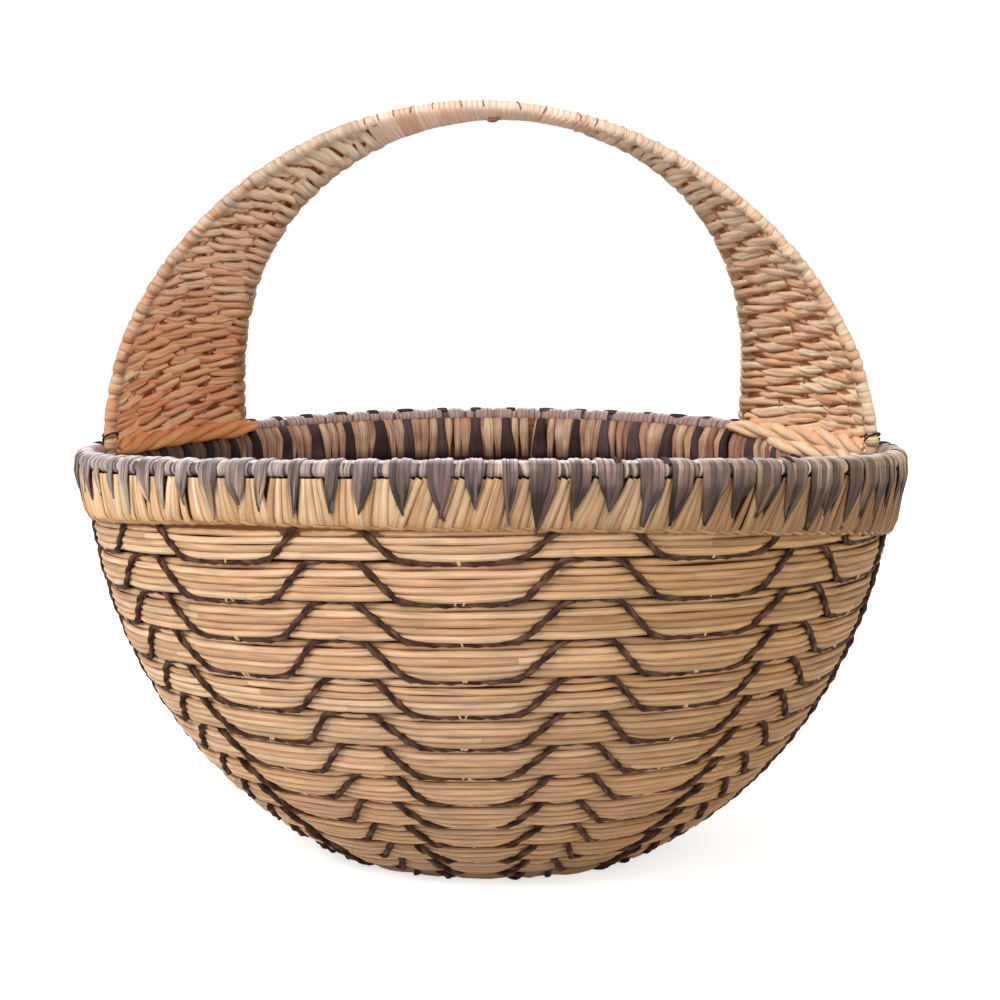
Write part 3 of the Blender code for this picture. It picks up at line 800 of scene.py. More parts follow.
def cord_course(pieces, dice):
    """The cord's way: down across a row, along its lower groove, up across it and along the upper one."""
    start = TURN * float(np.interp(CORD_START_RADIUS, PROFILE[1], PROFILE[0])) / ROW_HEIGHT
    first = math.ceil((start - STITCH_COLUMN_TURN) / COLUMN)
    last = math.floor((TURN * (BAND_LENGTH - CORD_RADIUS) / ROW_HEIGHT - STITCH_COLUMN_TURN) / COLUMN)
    top = STITCH_TOP_SHARE
    foot = STITCH_FOOT_SHARE
    corners = ((-top, 1), (-foot, 0), (foot, 0), (top, 1))
    angles = []
    shares = []
    for number in range(first, last + 1):
        for column_share, row_share in corners:
            angle = STITCH_COLUMN_TURN + (number + column_share) * COLUMN
            radius = float(on_profile(ROW_HEIGHT * angle / TURN)[0])
            angles.append(angle + dice.normal() * CORD_JITTER / radius)
            shares.append(row_share)
    spots = np.arange(len(angles))
    fine = np.arange(0, len(angles) - 1 + 1 / pieces / 2, 1 / pieces)
    angles = smoothed(np.interp(fine, spots, angles), 1)
    shares = smoothed(np.interp(fine, spots, shares), 1)
    petal = np.clip(1 - (column_offset(angles) / STITCH_FOOT_SHARE) ** 2, 0, 1)
    below_edge = (CORD_UNDER_EDGE + PETAL_SAG * petal) * (1 - shares) ** CORD_EDGE_POWER
    return angles, shares, ROW_HEIGHT * (angles / TURN + shares) - below_edge


def cord_outs(angles, shares, lengths):
    """How far the cord stands out: over the straws on a row's face, sunk between rows in a groove."""
    offset = np.abs(column_offset(angles))
    low_groove = np.interp(lengths, CORD_GROOVE_LENGTHS, CORD_UNDER_PETALS)
    high_groove = np.interp(lengths, CORD_GROOVE_LENGTHS, CORD_BETWEEN_PETALS)
    below = np.clip(offset / STITCH_FOOT_SHARE, 0, 1) ** CORD_LOW_POWER
    above = np.clip((0.5 - offset) / (0.5 - STITCH_TOP_SHARE), 0, 1) ** CORD_HIGH_POWER
    under_row = low_groove + (CORD_AT_CORNER - low_groove) * below
    over_row = high_groove + (CORD_AT_TOP_CORNER - high_groove) * above
    groove = np.where(shares < 0.5, under_row, over_row)
    face = 1 - np.abs(2 * shares - 1) ** CORD_FACE_POWER
    return groove + (CORD_OVER_ROW - groove) * face


def binding_cord(strands):
    """Two strands that turn round each other along the cord's way."""
    dice = strands.dice
    angles, shares, lengths = cord_course(CORD_PIECES, dice)
    points, outward = bowl_points(angles, lengths, cord_outs(angles, shares, lengths))
    side = crosswise(points, outward)[0]
    run = run_along(points)
    for number, (light, dark) in enumerate(CORD_TONES):
        phase = TURN * (run / LAY_PITCH + number / len(CORD_TONES))
        path = points + swung(side, outward, phase) * LAY_OFFSET
        mottle = (np.sin(run * CORD_MOTTLE + CORD_MOTTLE_WANDER * wobble(run, dice)) + 1) / 2
        strands.add(path, outward, LAY_STRAND_RADIUS, LAY_STRAND_RADIUS, blended(light, dark, mottle))


def inside_cord(strands):
    """The same cord where it shows on the inside of the bowl."""
    angles, shares, lengths = cord_course(INSIDE_CORD_PIECES, strands.dice)
    outs = -COIL_THICKNESS - cord_outs(angles, shares, lengths)
    points, outward = bowl_points(angles, lengths, outs)
    below = lengths < BAND_LENGTH - INSIDE_CORD_RADIUS - SEAT_GAP
    strands.add(points[below], -outward[below], INSIDE_CORD_RADIUS, INSIDE_CORD_RADIUS, CORD_SHADE)


def groove_ticks(strands):
    """Short pale fibres that bridge each groove in the middle of a column."""
    dice = strands.dice
    first = math.ceil(COIL_END * TICK_FROM_SHARE / COLUMN)
    last = math.floor(COIL_END / COLUMN) - 1
    reach_shares = np.linspace(-1, 1, TICK_STATIONS)
    for number in range(first, last):
        middle = STITCH_COLUMN_TURN + number * COLUMN
        seam = ROW_HEIGHT * middle / TURN
        radius = float(on_profile(seam)[0])
        for _ in range(dice.integers(*TICK_COUNTS)):
            reach = reach_shares * TICK_REACH * dice.uniform(*TICK_REACH_SHARES)
            sideways = dice.normal() * TICK_SPREAD + reach * dice.normal() * TICK_TILT
            outs = -TICK_DEPTH * reach_shares ** 2
            points, outward = bowl_points(middle + sideways / radius, seam + reach, outs)
            strands.add(points, outward, TICK_RADIUS, TICK_RADIUS, picked(TICK_TONES, dice))


def tooth_length(number):
    """The teeth's lengths vary in two waves round the rim."""
    fast, slow = TOOTH_WAVES
    wave = math.sin(fast * number) * math.cos(slow * number)
    return TOOTH_LENGTH * (1 + TOOTH_VARIATION_SHARE * wave)


def right_share(angle):
    """0 on the left, rising from the front to 1 on the right, where strips slant most."""
    return float(eased((math.sin(angle) - RIGHT_FROM) / RIGHT_FADE))


def side_tones(tones, angle, dice):
    """A tone that goes over from the left side's set through the front's to the right side's."""
    left, middle, right = tones
    across = math.sin(angle)
    near = 1 - abs(across)
    far = picked(right if across > 0 else left, dice)
    return picked(middle, dice) * near + far * (1 - near)


def toned(places, tones):
    """Colours along a strip: each tone holds between its two marks and fades into the next."""
    tones = np.repeat(np.asarray(tones, float), 2, axis=0)
    marks = RIM_MARKS[:len(tones)]
    return np.stack([np.interp(places, marks, channel) for channel in tones.T], axis=-1)


def band_bottom(angles):
    """The height of the band's lower edge, which isn't quite level all round."""
    degrees = (np.degrees(angles) + 180) % 360 - 180
    return BAND_BOTTOM - np.interp(degrees, BAND_DROP_ANGLES, BAND_DROPS)


def band_radius(share):
    """The band's outer radius, from its top at 0 to its lower edge at 1."""
    return BAND_OUTER_RADIUS - BAND_LEAN * np.clip(share, 0, BAND_LEAN_LIMIT) ** BAND_LEAN_POWER


def over_rim(angle, turns, sideways, lift):
    """Points over the wrapped rim: a turn of 0 is its outside and a quarter turn its top."""
    radii = RIM_MIDDLE_RADIUS + (RIM_WRAP_WIDTH / 2 - RIM_CORE_INSET + lift) * np.cos(turns)
    heights = RIM_MIDDLE_HEIGHT + (RIM_WRAP_HEIGHT / 2 - RIM_CORE_INSET + lift) * np.sin(turns)
    angles = angle + sideways / RIM_MIDDLE_RADIUS + 0 * turns
    return round_points(angles, radii, heights), unit(round_points(angles, np.cos(turns), np.sin(turns)))


def ring_core(strands, radius, height, half_sizes, tone):
    """A closed ring inside the rim or the band, which shows only in the gaps between strips."""
    angles = np.linspace(0, TURN, RING_STATIONS)
    middle = round_points(angles, radius, height)
    strands.add(middle, straight_up(RING_STATIONS), *half_sizes, tone)


def add_tooth(strands, middle, right, length):
    """The dark strips of one tooth, which run over the rim and down over the band and meet in a point."""
    dice = strands.dice
    degrees = np.linspace(*STRIP_TURNS, STRIP_STATIONS)
    run = np.linspace(0, 1, HANGING_STATIONS + 1)[1:]
    marks = TOOTH_MARK * (TOOTH_START_SHARE + (1 - TOOTH_START_SHARE) * run)
    places = np.concatenate([-degrees, marks])
    reach_share = np.interp(math.sin(middle), TOOTH_SIDES, TOOTH_REACHES)
    drop = TOOTH_ROOT + length * reach_share * dice.uniform(*TOOTH_REACH_SPREAD)
    size = dice.uniform(*(np.interp(right, (0, 1), ends) for ends in TOOTH_SIZES))
    tip = -TOOTH_SLANT * right + dice.normal() * TOOTH_JITTER
    top, face, hanging = (side_tones(tones, middle, dice) for tones in (RIM_TOP_HIGHLIGHTS, RIM_FACES, TOOTH_ENDS))
    taper = TOOTH_SHOULDER_SHARE - TOOTH_TAPER_SHARE * run ** 2
    shape = np.concatenate([np.ones(STRIP_STATIONS), taper])
    for number in range(TOOTH_STRIPS):
        start = (number - (TOOTH_STRIPS - 1) / 2) * TOOTH_STRIP_SPACING * size
        lift = dice.uniform(*TOOTH_LIFTS)
        path, outward = over_rim(middle, np.radians(degrees), start, lift)
        depths = drop * dice.uniform(*TOOTH_DROP_SHARES) * run
        radii = band_radius(depths / BAND_HEIGHT) + TOOTH_THICKNESS + SEAT_GAP + lift * (1 - run)
        stray = dice.normal() * STRAW_JITTER
        angles = middle + (start * (1 - run ** TOOTH_GATHER_POWER) + (tip + stray) * run) / RIM_RADIUS
        path = np.concatenate([path, round_points(angles, radii, RIM_UNDERSIDE - depths)])
        outward = np.concatenate([outward, level_out(angles)])
        own_end = (hanging + side_tones(TOOTH_ENDS, middle, dice)) / 2
        end = np.clip(own_end * dice.uniform(*TOOTH_END_SHADES), 0, 255)
        own_face = np.clip(face * dice.uniform(*TOOTH_FACE_SHADES), 0, 255)
        # Along each strip: a painted highlight over the rim's top, then its face, then the tooth's end,
        # darker partly by the strip's own colour and partly by painted shade below the rim
        tones = toned(places, (RIM_INSIDE, top, own_face, end))
        strands.add(path, outward, TOOTH_STRIP_HALF_WIDTH * size * shape, STRIP_THICKNESS, tones)


def add_wraps(strands, middle, right):
    """The pale strips wound round the rim between one tooth and the next."""
    dice = strands.dice
    degrees = np.linspace(*WRAP_TURNS, STRIP_STATIONS)
    between = middle + TOOTH_PITCH / 2 / RIM_RADIUS
    wraps = round(WRAPS_ON_LEFT + (WRAPS_ON_RIGHT - WRAPS_ON_LEFT) * right + dice.normal())
    for number in range(wraps):
        start = ((number + dice.uniform(*WRAP_PLACES)) / wraps - 0.5) * TOOTH_PITCH
        slant = dice.normal() * TOOTH_JITTER * np.linspace(1, -1, STRIP_STATIONS)
        path, outward = over_rim(between, np.radians(degrees), start + slant, dice.uniform(*WRAP_LIFTS))
        top, face = (side_tones(tones, middle, dice) for tones in (RIM_TOP_HIGHLIGHTS, RIM_PALES))
        # A painted highlight where the wrap crosses the rim's top
        tones = toned(-degrees, (RIM_INSIDE, top, face))
        strands.add(path, outward, dice.uniform(*WRAP_HALF_WIDTHS), STRIP_THICKNESS, tones)


def rim_strips(strands):
    """Teeth and pale wraps all round the rim, over two ridges that keep its top full and carry its painted
    highlight.
    """
    for tooth in range(TEETH):
        middle = TURN * (tooth + 0.5) / TEETH + strands.dice.normal() * TOOTH_JITTER / RIM_RADIUS
        right = right_share(middle)
        add_tooth(strands, middle, right, tooth_length(tooth))
        add_wraps(strands, middle, right)
    angles = np.linspace(0, TURN, PROFILE_SAMPLES)
    for turn in RIDGE_TURNS:
        path, outward = over_rim(angles, turn + 0 * angles, 0, 0)
        # The ridges carry the rim's painted highlight
        strands.add(path, outward, RIDGE_HALF_WIDTH, STRIP_THICKNESS, RIM_TOP_HIGHLIGHTS[1][0])


def fan_line(angles):
    """Radius and height of a band straw: down the outside, round the lower edge and in below."""
    bottom = band_bottom(angles)
    top = BAND_TOP + STRIP_THICKNESS
    down = top + (bottom + BAND_EDGE - top) * np.linspace(0, 1, FAN_STATIONS)
    bend = np.linspace(0, TURN / 4, EDGE_STATIONS + 1)[1:]
    heights = np.concatenate([down, bottom + BAND_EDGE * (1 - np.sin(bend)), [bottom]])
    run = np.clip((top - heights) / (top - bottom), 0, 1)
    tuck = np.concatenate([np.zeros(FAN_STATIONS), BAND_EDGE * (1 - np.cos(bend)), [2 * BAND_EDGE]])
    level = np.concatenate([np.ones(FAN_STATIONS), np.cos(bend), [0]])
    return band_radius(run) - tuck, heights, level, run


def band_straws(strands):
    """Fans of straw between the teeth: upright on the left, slanting at the front, pointed on the right."""
    dice = strands.dice
    for fan in range(TEETH):
        angle = TURN * fan / TEETH
        across = math.sin(angle)
        top_share = float(np.interp(across, FAN_SIDES, FAN_TOP_SHARES)) + dice.normal() * FAN_TOP_SPREAD
        slant = -FAN_SLANT * float(eased(across / FAN_SLANT_FADE + 1))
        lean = slant + dice.normal() * FAN_JITTER * (FAN_JITTER_ON_LEFT - right_share(angle))
        layers = dice.permutation(FAN_STRAWS) * FAN_LAYER
        radii, heights, level, run = fan_line(angle)
        for number, layer in enumerate(layers):
            place = ((number + 0.5) / FAN_STRAWS - 0.5) * TOOTH_PITCH
            top = place * top_share - lean * FAN_PIVOT_SHARE
            foot = place * FAN_FOOT_SHARE + lean * (1 - FAN_PIVOT_SHARE) + dice.normal() * STRAW_JITTER
            angles = angle + (top + (foot - top) * run) / RIM_RADIUS
            path = round_points(angles, radii + layer * level, heights - layer * (1 - level))
            outward = unit(round_points(angles, level, level - 1))
            spread = top_share + (FAN_FOOT_SHARE - top_share) * run
            width = TOOTH_PITCH / FAN_STRAWS * FAN_OVERLAP * spread * dice.uniform(*FAN_WIDTH_SHARES)
            # Painted shade towards the band's lower edge, where the straws fold under
            painted_foot_shade = BAND_FOOT_SHARE * run ** BAND_FOOT_POWER
            tones = blended(picked(BAND_TONES, dice), BAND_FOOT_SHADE_TONE, painted_foot_shade)
            # Painted light: the band straws are lighter on the left and darker on the right
            tones = tones * painted_side_light(angle, BAND_PAINTED_SIDE_LIGHT)
            strands.add(path, outward, np.maximum(width, FAN_THICKNESS), FAN_THICKNESS, tones)


def band_bead(strands):
    """Two thin straws laid round each other along the band's lower edge, where its straws are folded in."""
    angles = np.linspace(0, TURN, BEAD_STATIONS)
    middle = round_points(angles, band_radius(1) - BEAD_RADIUS, band_bottom(angles) + BEAD_RADIUS)
    spread = BEAD_RADIUS * BEAD_SPREAD_SHARE
    shape = (BEAD_STRANDS, spread, spread, BEAD_RADIUS, BEAD_RADIUS, BEAD_PITCH)
    strands.add_twist(middle, -level_out(angles), shape, BEAD_TONES)


def bar_shade(angle, share):
    """Painted shade: darker at the foot of the bars, and a painted shadow under the left foot of the handle.
    """
    foot = 1 - BAR_FOOT_SHADE * eased((share - BAR_SHADE_FROM) / (1 - BAR_SHADE_FROM))
    under_handle = eased((-math.sin(angle) - UNDER_HANDLE_FROM) / UNDER_HANDLE_FADE)
    return foot * (1 - UNDER_HANDLE_SHADE * under_handle)


def band_bars(strands):
    """Bars on the inside of the band: broad dark ones that are rounded at the foot, and pale ones between."""
    dice = strands.dice
    share = np.linspace(0, 1, BAR_STATIONS)
    near_top = np.exp(-((share / BAR_TOP_SHARE) ** 2))
    near_foot = np.clip((share - BAR_FOOT_FROM) / (1 - BAR_FOOT_FROM), 0, 1) ** 2
    tuck = BAR_FOOT_TUCK * near_foot + BAR_TOP_TUCK * near_top
    top = RIM_UNDERSIDE + STRIP_THICKNESS
    heights = top + (BAND_BOTTOM + BAR_BOTTOM - top) * share + BAR_RISE * near_top
    pitch = TURN * BAND_INNER_RADIUS / BAR_GROUPS
    dark_swell = DARK_BAR_TOP_SHARE + (1 - DARK_BAR_TOP_SHARE) * eased(share / BAR_FOOT_FROM)
    pale_swell = 1 - PALE_BAR_WAIST_SHARE + PALE_BAR_WAIST_SHARE * np.sin(TURN * share)
    for group in range(BAR_GROUPS):
        angle = TURN * (group + 0.5) / BAR_GROUPS + dice.normal() * TOOTH_JITTER / BAND_INNER_RADIUS
        for place in (0, *PALE_BAR_PLACES):
            dark = place == 0
            shift = pitch * place + dice.normal() * STRAW_JITTER
            angles = angle + (shift + dice.normal() * TOOTH_JITTER * (share - 0.5)) / BAND_INNER_RADIUS
            proud = BAR_HALF_THICKNESS if dark else dice.uniform(0, BAR_HALF_THICKNESS)
            path = round_points(angles, BAND_INNER_RADIUS + tuck - proud, heights)
            half_widths = DARK_BAR_HALF_WIDTHS if dark else PALE_BAR_HALF_WIDTHS
            width = dice.uniform(*half_widths) * (dark_swell if dark else pale_swell)
            blotch = (np.sin(share * dice.uniform(*BLOTCH_TURNS) + dice.uniform(*BLOTCH_STARTS)) + 1) / 2
            first, second = (picked(BAR_DARK if dark else BAR_PALE, dice) for _ in range(2))
            tones = blended(first, second, blotch) * bar_shade(angle, share)[:, None]
            strands.add(path, -level_out(angles), width, BAR_HALF_THICKNESS, tones)


def rim_caps(strands):
    """Dark strips over the rim's top, in line with the dark bars inside."""
    dice = strands.dice
    turns = np.radians(np.linspace(*CAP_TURNS, STRIP_STATIONS))
    bulge = np.sin(np.linspace(*CAP_BULGE_SHARES, STRIP_STATIONS) * math.pi)
    for group in range(BAR_GROUPS):
        angle = TURN * (group + 0.5) / BAR_GROUPS
        front = math.cos(angle) > 0
        if front and (dice.random() > FRONT_CAPS_SHARE or math.sin(angle) < 0):
            continue
        middle = angle + dice.normal() * TOOTH_JITTER / RIM_RADIUS
        path, outward = over_rim(middle, turns, 0, CAP_LIFT * bulge)
        half_width = CAP_HALF_WIDTH * dice.uniform(*CAP_WIDTH_SHARES) * (FRONT_CAP_SIZE if front else 1)
        strands.add(path, outward, half_width, STRIP_THICKNESS, picked(BAR_DARK, dice))


def outer_hoop(angles):
    """The outer hoop's middle line, from its right foot over the top to its left one."""
    across = np.cos(angles)
    up = np.sin(angles)
    x = np.copysign(FOOT_RADIUS * np.abs(across) ** OUTER_FLANK_POWER, across) + OUTER_LEAN * up
    z = BOWL_HEIGHT + OUTER_RISE * np.maximum(0, up) ** OUTER_CROWN_POWER
    return np.stack([x, 0 * x, z], axis=-1)


def inner_hoop(angles):
    """The inner hoop's middle line, whose feet stand further back and whose top meets the outer hoop."""
    turns = angles + INNER_SHIFT * np.sin(angles) - INNER_STRETCH * np.sin(2 * angles)
    across = np.cos(turns)
    up = np.sin(turns)
    span = FOOT_RADIUS * math.cos(PANEL_ARC)
    back = FOOT_RADIUS * math.sin(PANEL_ARC)
    x = np.copysign(span * np.abs(across) ** INNER_FLANK_POWER, across) + INNER_LEAN * up
    y = HOOP_SPACING + (back - HOOP_SPACING) * (1 - up) ** HOOP_MEETING_POWER
    z = BOWL_HEIGHT + INNER_RISE * np.maximum(0, up) ** INNER_CROWN_POWER
    return np.stack([x, y, z], axis=-1)


def on_side(angles, side):
    """Angles along a hoop that count from its foot on one side."""
    return angles if side == RIGHT else math.pi - angles


def panel_frame(side, shares, angles):
    """Points between the hoops, bulged like a dome, with the directions out of the panel and up it."""
    turns = on_side(angles, side)
    outer = outer_hoop(turns)
    inner = inner_hoop(turns)
    chord = inner - outer
    width = np.linalg.norm(chord, axis=-1, keepdims=True)
    outward = unit((outer + inner) / 2 - np.array([0, 0, BOWL_HEIGHT]))
    shares = np.broadcast_to(shares, angles.shape)[..., None]
    spots = outer + chord * shares + outward * width ** 2 / (8 * DOME_RADIUS) * 4 * shares * (1 - shares)
    ahead = turns + LOOK_AHEAD * side
    upward = unit(outer_hoop(ahead) + inner_hoop(ahead) - outer - inner)
    normal = unit(np.cross(chord, upward))
    normal = normal * np.sign((normal * outward).sum(axis=-1, keepdims=True))
    return spots, normal, upward


def panel_rows(side):
    """The angles of the woven rows, evenly spaced up the middle of the panel."""
    angles = np.linspace(0, PANEL_TOP_ANGLE, PROFILE_SAMPLES)
    run = run_along(panel_frame(side, 0.5, angles)[0])
    return np.interp(np.arange(ROW_PITCH / 2, run[-1], ROW_PITCH), run, angles)


def round_edge(centre, facing, edgeways):
    """Points that lead a strand from the near face of a hoop round its edge."""
    outward = swung(facing, edgeways, np.linspace(0, EDGE_WRAP_TURN, EDGE_WRAP_STATIONS + 1)[1:])
    return centre + outward * EDGE_WRAP_RADIUS, outward


def add_grain_row(strands, side, row, angle, tones):
    """Two strands that cross between the ribs, so that the near one shows as a slanting grain."""
    dice = strands.dice
    ends = panel_frame(side, np.array([0.0, 1.0]), np.array([angle, angle]))[0]
    width = float(np.linalg.norm(ends[1] - ends[0]))
    chord = (ends[1] - ends[0]) / width
    stations = max(GRAIN_STATIONS, int(width / GRAIN_STEP))
    shares = np.linspace(0.0, 1.0, stations)
    spots, normal, upward = panel_frame(side, shares, np.full(stations, angle))
    start = math.pi / 2 * (row % 2) + dice.normal() * GRAIN_START_SPREAD
    grain = GRAIN_LENGTHS[side == RIGHT] * dice.uniform(*GRAIN_LENGTH_SHARES)
    # Painted shade darkens the strands where they reach and wrap round the hoops
    hoop_edge_shade = HOOP_EDGE_PAINTED_SHADES[side == RIGHT]
    run = shares * width
    edge = eased(np.minimum(run, width - run) / EDGE_REACH)
    for half in (0, 1):
        phase = math.pi * (run / grain + half) + start
        front = np.cos(phase)
        rise = -side * GRAIN_RISE * np.sin(phase) + GRAIN_WANDER * wobble(run * RISE_WOBBLE, dice)
        round_hoop = EDGE_WRAP_RADIUS * np.tanh(GRAIN_SHARPNESS * front)
        inward = GRAIN_OUT * front * edge + round_hoop * (1 - edge)
        inward = inward + GRAIN_WANDER * wobble(run * OUT_WOBBLE, dice)
        path = spots - normal * inward[:, None] + upward * rise[:, None]
        swell = dice.uniform(*GRAIN_SIZE_SHARES) * (GRAIN_SWELL[0] + GRAIN_SWELL[1] * front)
        half_width = FIBRE_HALF_WIDTH * swell * (1 + EDGE_WIDENING * (1 - edge))
        thickness = FIBRE_HALF_THICKNESS * swell * (EDGE_THINNING + (1 - EDGE_THINNING) * edge)
        shade = hoop_edge_shade + (1 - hoop_edge_shade) * edge
        line = np.column_stack([path, -normal, half_width, thickness, shade])
        for last, edgeways in ((0, -chord), (-1, chord)):
            if front[last] > 0:
                round_path, facing = round_edge(ends[last], -normal[last], edgeways)
                sizes = np.tile(line[last, 6:], (EDGE_WRAP_STATIONS, 1))
                more = np.column_stack([round_path + upward[last] * rise[last], facing, sizes])
                line = np.concatenate([line, more] if last else [more[::-1], line])
        half_width, thickness, shade = line[:, 6:].T
        shape = (GRAIN_FIBRES, FIBRE_SPREAD, FIBRE_DEPTH, half_width, thickness, FIBRE_PITCH)
        strands.add_twist(line[:, :3], line[:, 3:6], shape, tones, shade)
    return spots, normal


def woven_panel(strands, side, tones, gap_shade):
    """Twined rows up one side of the handle, with painted light making them paler towards the top, each with
    a strip of painted shade behind it.
    """
    for row, angle in enumerate(panel_rows(side)):
        high = float(eased(angle / PANEL_TOP_ANGLE))
        # Painted light: the rows pale towards the top
        paler = blended(tones, HIGH_WEAVE_PAINTED_LIGHT, np.full(len(tones), high))
        spots, normal = add_grain_row(strands, side, row, angle, paler)
        strands.add(spots, normal, BACKING_HALF_WIDTH, BACKING_HALF_THICKNESS, gap_shade)


def add_winding(strands, line, pitch, tones):
    """A strip wound tightly round a hoop, turn beside turn."""
    dice = strands.dice
    run = run_along(line)
    places = np.arange(0, run[-1], pitch / WINDING_STATIONS)
    middle = np.stack([np.interp(places, run, line[:, axis]) for axis in range(3)], axis=-1)
    along = unit(np.gradient(middle, axis=0))
    sideways = unit(np.cross(along, np.array([0.0, 1.0, 0.0])))
    outward = swung(sideways, np.cross(along, sideways), TURN * places / pitch)
    reach = (HOOP_RADIUS + WINDING_THICKNESS / 2) * (1 + WINDING_WANDER * wobble(places, dice))
    path = middle + outward * reach[:, None]
    turn = np.floor(places / pitch).astype(int)
    picks = np.array([picked(tones, dice) for _ in range(turn[-1] + 1)])
    strands.add(path, outward, pitch * WINDING_WIDTH_SHARE, WINDING_THICKNESS, picks[turn])


def hoop_windings(strands):
    """Fine turns up the flanks of both hoops, and broad ones where the woven panels end."""
    flank = np.linspace(0, EDGE_WRAP_LAST, FLANK_STATIONS)
    shoulder = np.linspace(EDGE_WRAP_LAST, math.pi / 2 - WRAP_ANGLE, SHOULDER_STATIONS)
    for hoop_at, side in itertools.product((outer_hoop, inner_hoop), (LEFT, RIGHT)):
        line = hoop_at(on_side(flank, side))
        foot = np.array([[*line[0, :2], BAND_TOP]])
        # The fine windings take the panel's colours in painted light or shade, darkened by the painted shade
        # at the hoops
        shaded = np.asarray(LIT_RIGHT_WEAVE if side == RIGHT else SHADED_LEFT_WEAVE) * HOOP_EDGE_PAINTED_SHADES[side == RIGHT]
        add_winding(strands, np.concatenate([foot, line]), FINE_PITCH, shaded)
        add_winding(strands, hoop_at(on_side(shoulder, side)), BROAD_PITCH, WINDING_TONES)


def between_hoops(angles):
    return (outer_hoop(angles) + inner_hoop(angles)) / 2


def top_loop(angles, phase, radius):
    """Points round both hoops at once, where they run side by side."""
    outer = outer_hoop(angles)
    inner = inner_hoop(angles)
    across = unit(inner - outer)
    forward = between_hoops(angles + LOOK_AHEAD) - between_hoops(angles)
    out = unit(np.cross(across, forward))
    half = np.linalg.norm(inner - outer, axis=-1) / 2
    swing = half * np.tanh(TOP_FLATNESS * np.cos(phase)) + radius * np.cos(phase)
    points = (outer + inner) / 2 + across * swing[:, None] + out * (radius * np.sin(phase))[:, None]
    return points, unit(swung(across, out, phase))


def top_strip(strands):
    """Narrow rings round both hoops, with a dark nick at each seam of the strip and its end knotted below."""
    dice = strands.dice
    reach = HOOP_RADIUS + TOP_COVER
    seams = np.radians(TOP_SEAMS)
    phase = np.linspace(0, TURN, TOP_STATIONS)
    for number, (start, stop) in enumerate(itertools.pairwise(seams)):
        length = np.linalg.norm(np.diff(between_hoops(np.array([start, stop])), axis=0))
        rings = math.ceil(length / TOP_RING_STEP)
        tone = picked(WINDING_TONES, dice)
        for ring in range(rings):
            angle = start + (stop - start) * (ring + 0.5) / rings
            points, outward = top_loop(angle + 0 * phase, phase, reach + TOP_LAPS[number % 2])
            strands.add(points, outward, length / rings * TOP_RING_SHARE, TOP_THICKNESS, tone)
    phase = np.linspace(*NICK_TURNS, NICK_STATIONS)
    for angle in seams:
        slanted = angle + LOOK_AHEAD * dice.normal() * np.linspace(0, 1, NICK_STATIONS)
        points, outward = top_loop(slanted, phase, reach + TOP_THICKNESS + NICK_LIFT)
        strands.add(points, outward, NICK_RADIUS, NICK_RADIUS, NICK_TONE)
    hanging = np.array([NUB_SHIFT, 0, NUB_RADIUS - NUB_DROP])
    nub_path = between_hoops(np.array([math.pi / 2])) + NUB_RADIUS * np.array(NUB_PATH_SHARES) + hanging
    forward = np.tile([0.0, -1.0, 0.0], (len(nub_path), 1))
    strands.add(nub_path, forward, NUB_HALF_WIDTH, NUB_HALF_WIDTH, NICK_TONE)


def foot_roll(strands, side, tones):
    """Thick strands laid round each other inside the rim, with a second roll below on the right."""
    dice = strands.dice
    radius = RIM_INNER_RADIUS - SEAT_GAP - ROLL_RADIUS
    turns = np.linspace(HOOP_RADIUS / FOOT_RADIUS, PANEL_ARC + ROLL_OVERRUN, ROLL_STATIONS)
    angles = side * (math.pi / 2 + turns)
    run = turns * radius
    middle = round_points(angles, radius, BAND_TOP + SEAT_GAP + ROLL_RADIUS)
    upward = straight_up(ROLL_STATIONS)
    ends = ROLL_END_SHARE + (1 - ROLL_END_SHARE) * from_ends(ROLL_STATIONS, ROLL_END_STATIONS)
    drops = (0, LOWER_ROLL_DROP) if side == RIGHT else (0,)
    for number, drop in itertools.product(range(ROLL_STRANDS), drops):
        phase = TURN * (run / ROLL_PITCH + number / ROLL_STRANDS + drop / ROLL_RADIUS)
        lay = swung(-level_out(angles), upward, phase)
        path = middle + lay * (ROLL_STRAND_OFFSET * ends)[:, None] - upward * drop
        size = ROLL_STRAND_RADIUS * ends * (1 + ROLL_WANDER * wobble(run, dice))
        share = (wobble(run, dice) + 1) / 2
        shades = blended(picked(tones, dice), picked(tones, dice), share)
        kept = slice(0, LOWER_ROLL_STATIONS if drop else ROLL_STATIONS)
        strands.add(path[kept], lay[kept], size[kept] * ROLL_WIDTH_SHARE, size[kept], shades[kept])


def foot_lashings(strands):
    """A dark cord wound a few times round each foot of the outer hoop."""
    phase = np.linspace(0, TURN * LASHING_TURNS, LASHING_STATIONS)
    reach = HOOP_RADIUS + 2 * WINDING_THICKNESS + LASHING_RADIUS
    outward = np.stack([np.cos(phase), np.sin(phase), 0 * phase], axis=-1)
    rise = LASHING_PITCH * (1 + phase / TURN) + LASHING_TILT * np.cos(phase + LASHING_TILT_TURN)
    lay = outward * reach + straight_up(LASHING_STATIONS) * rise[:, None]
    for foot in outer_hoop(np.array([0.0, math.pi])):
        strands.add(foot + lay, outward, LASHING_RADIUS, LASHING_RADIUS, CORD_SHADE)


def linked(tree, kind, values=None, **settings):
    """A new node with its settings, and its inputs set or linked by name or number."""
    made = tree.nodes.new(kind)
    for key, value in settings.items():
        setattr(made, key, value)
    for key, value in (values or {}).items():
        if isinstance(value, bpy.types.NodeSocket):
            tree.links.new(value, made.inputs[key])
        else:
            made.inputs[key].default_value = value
    return made


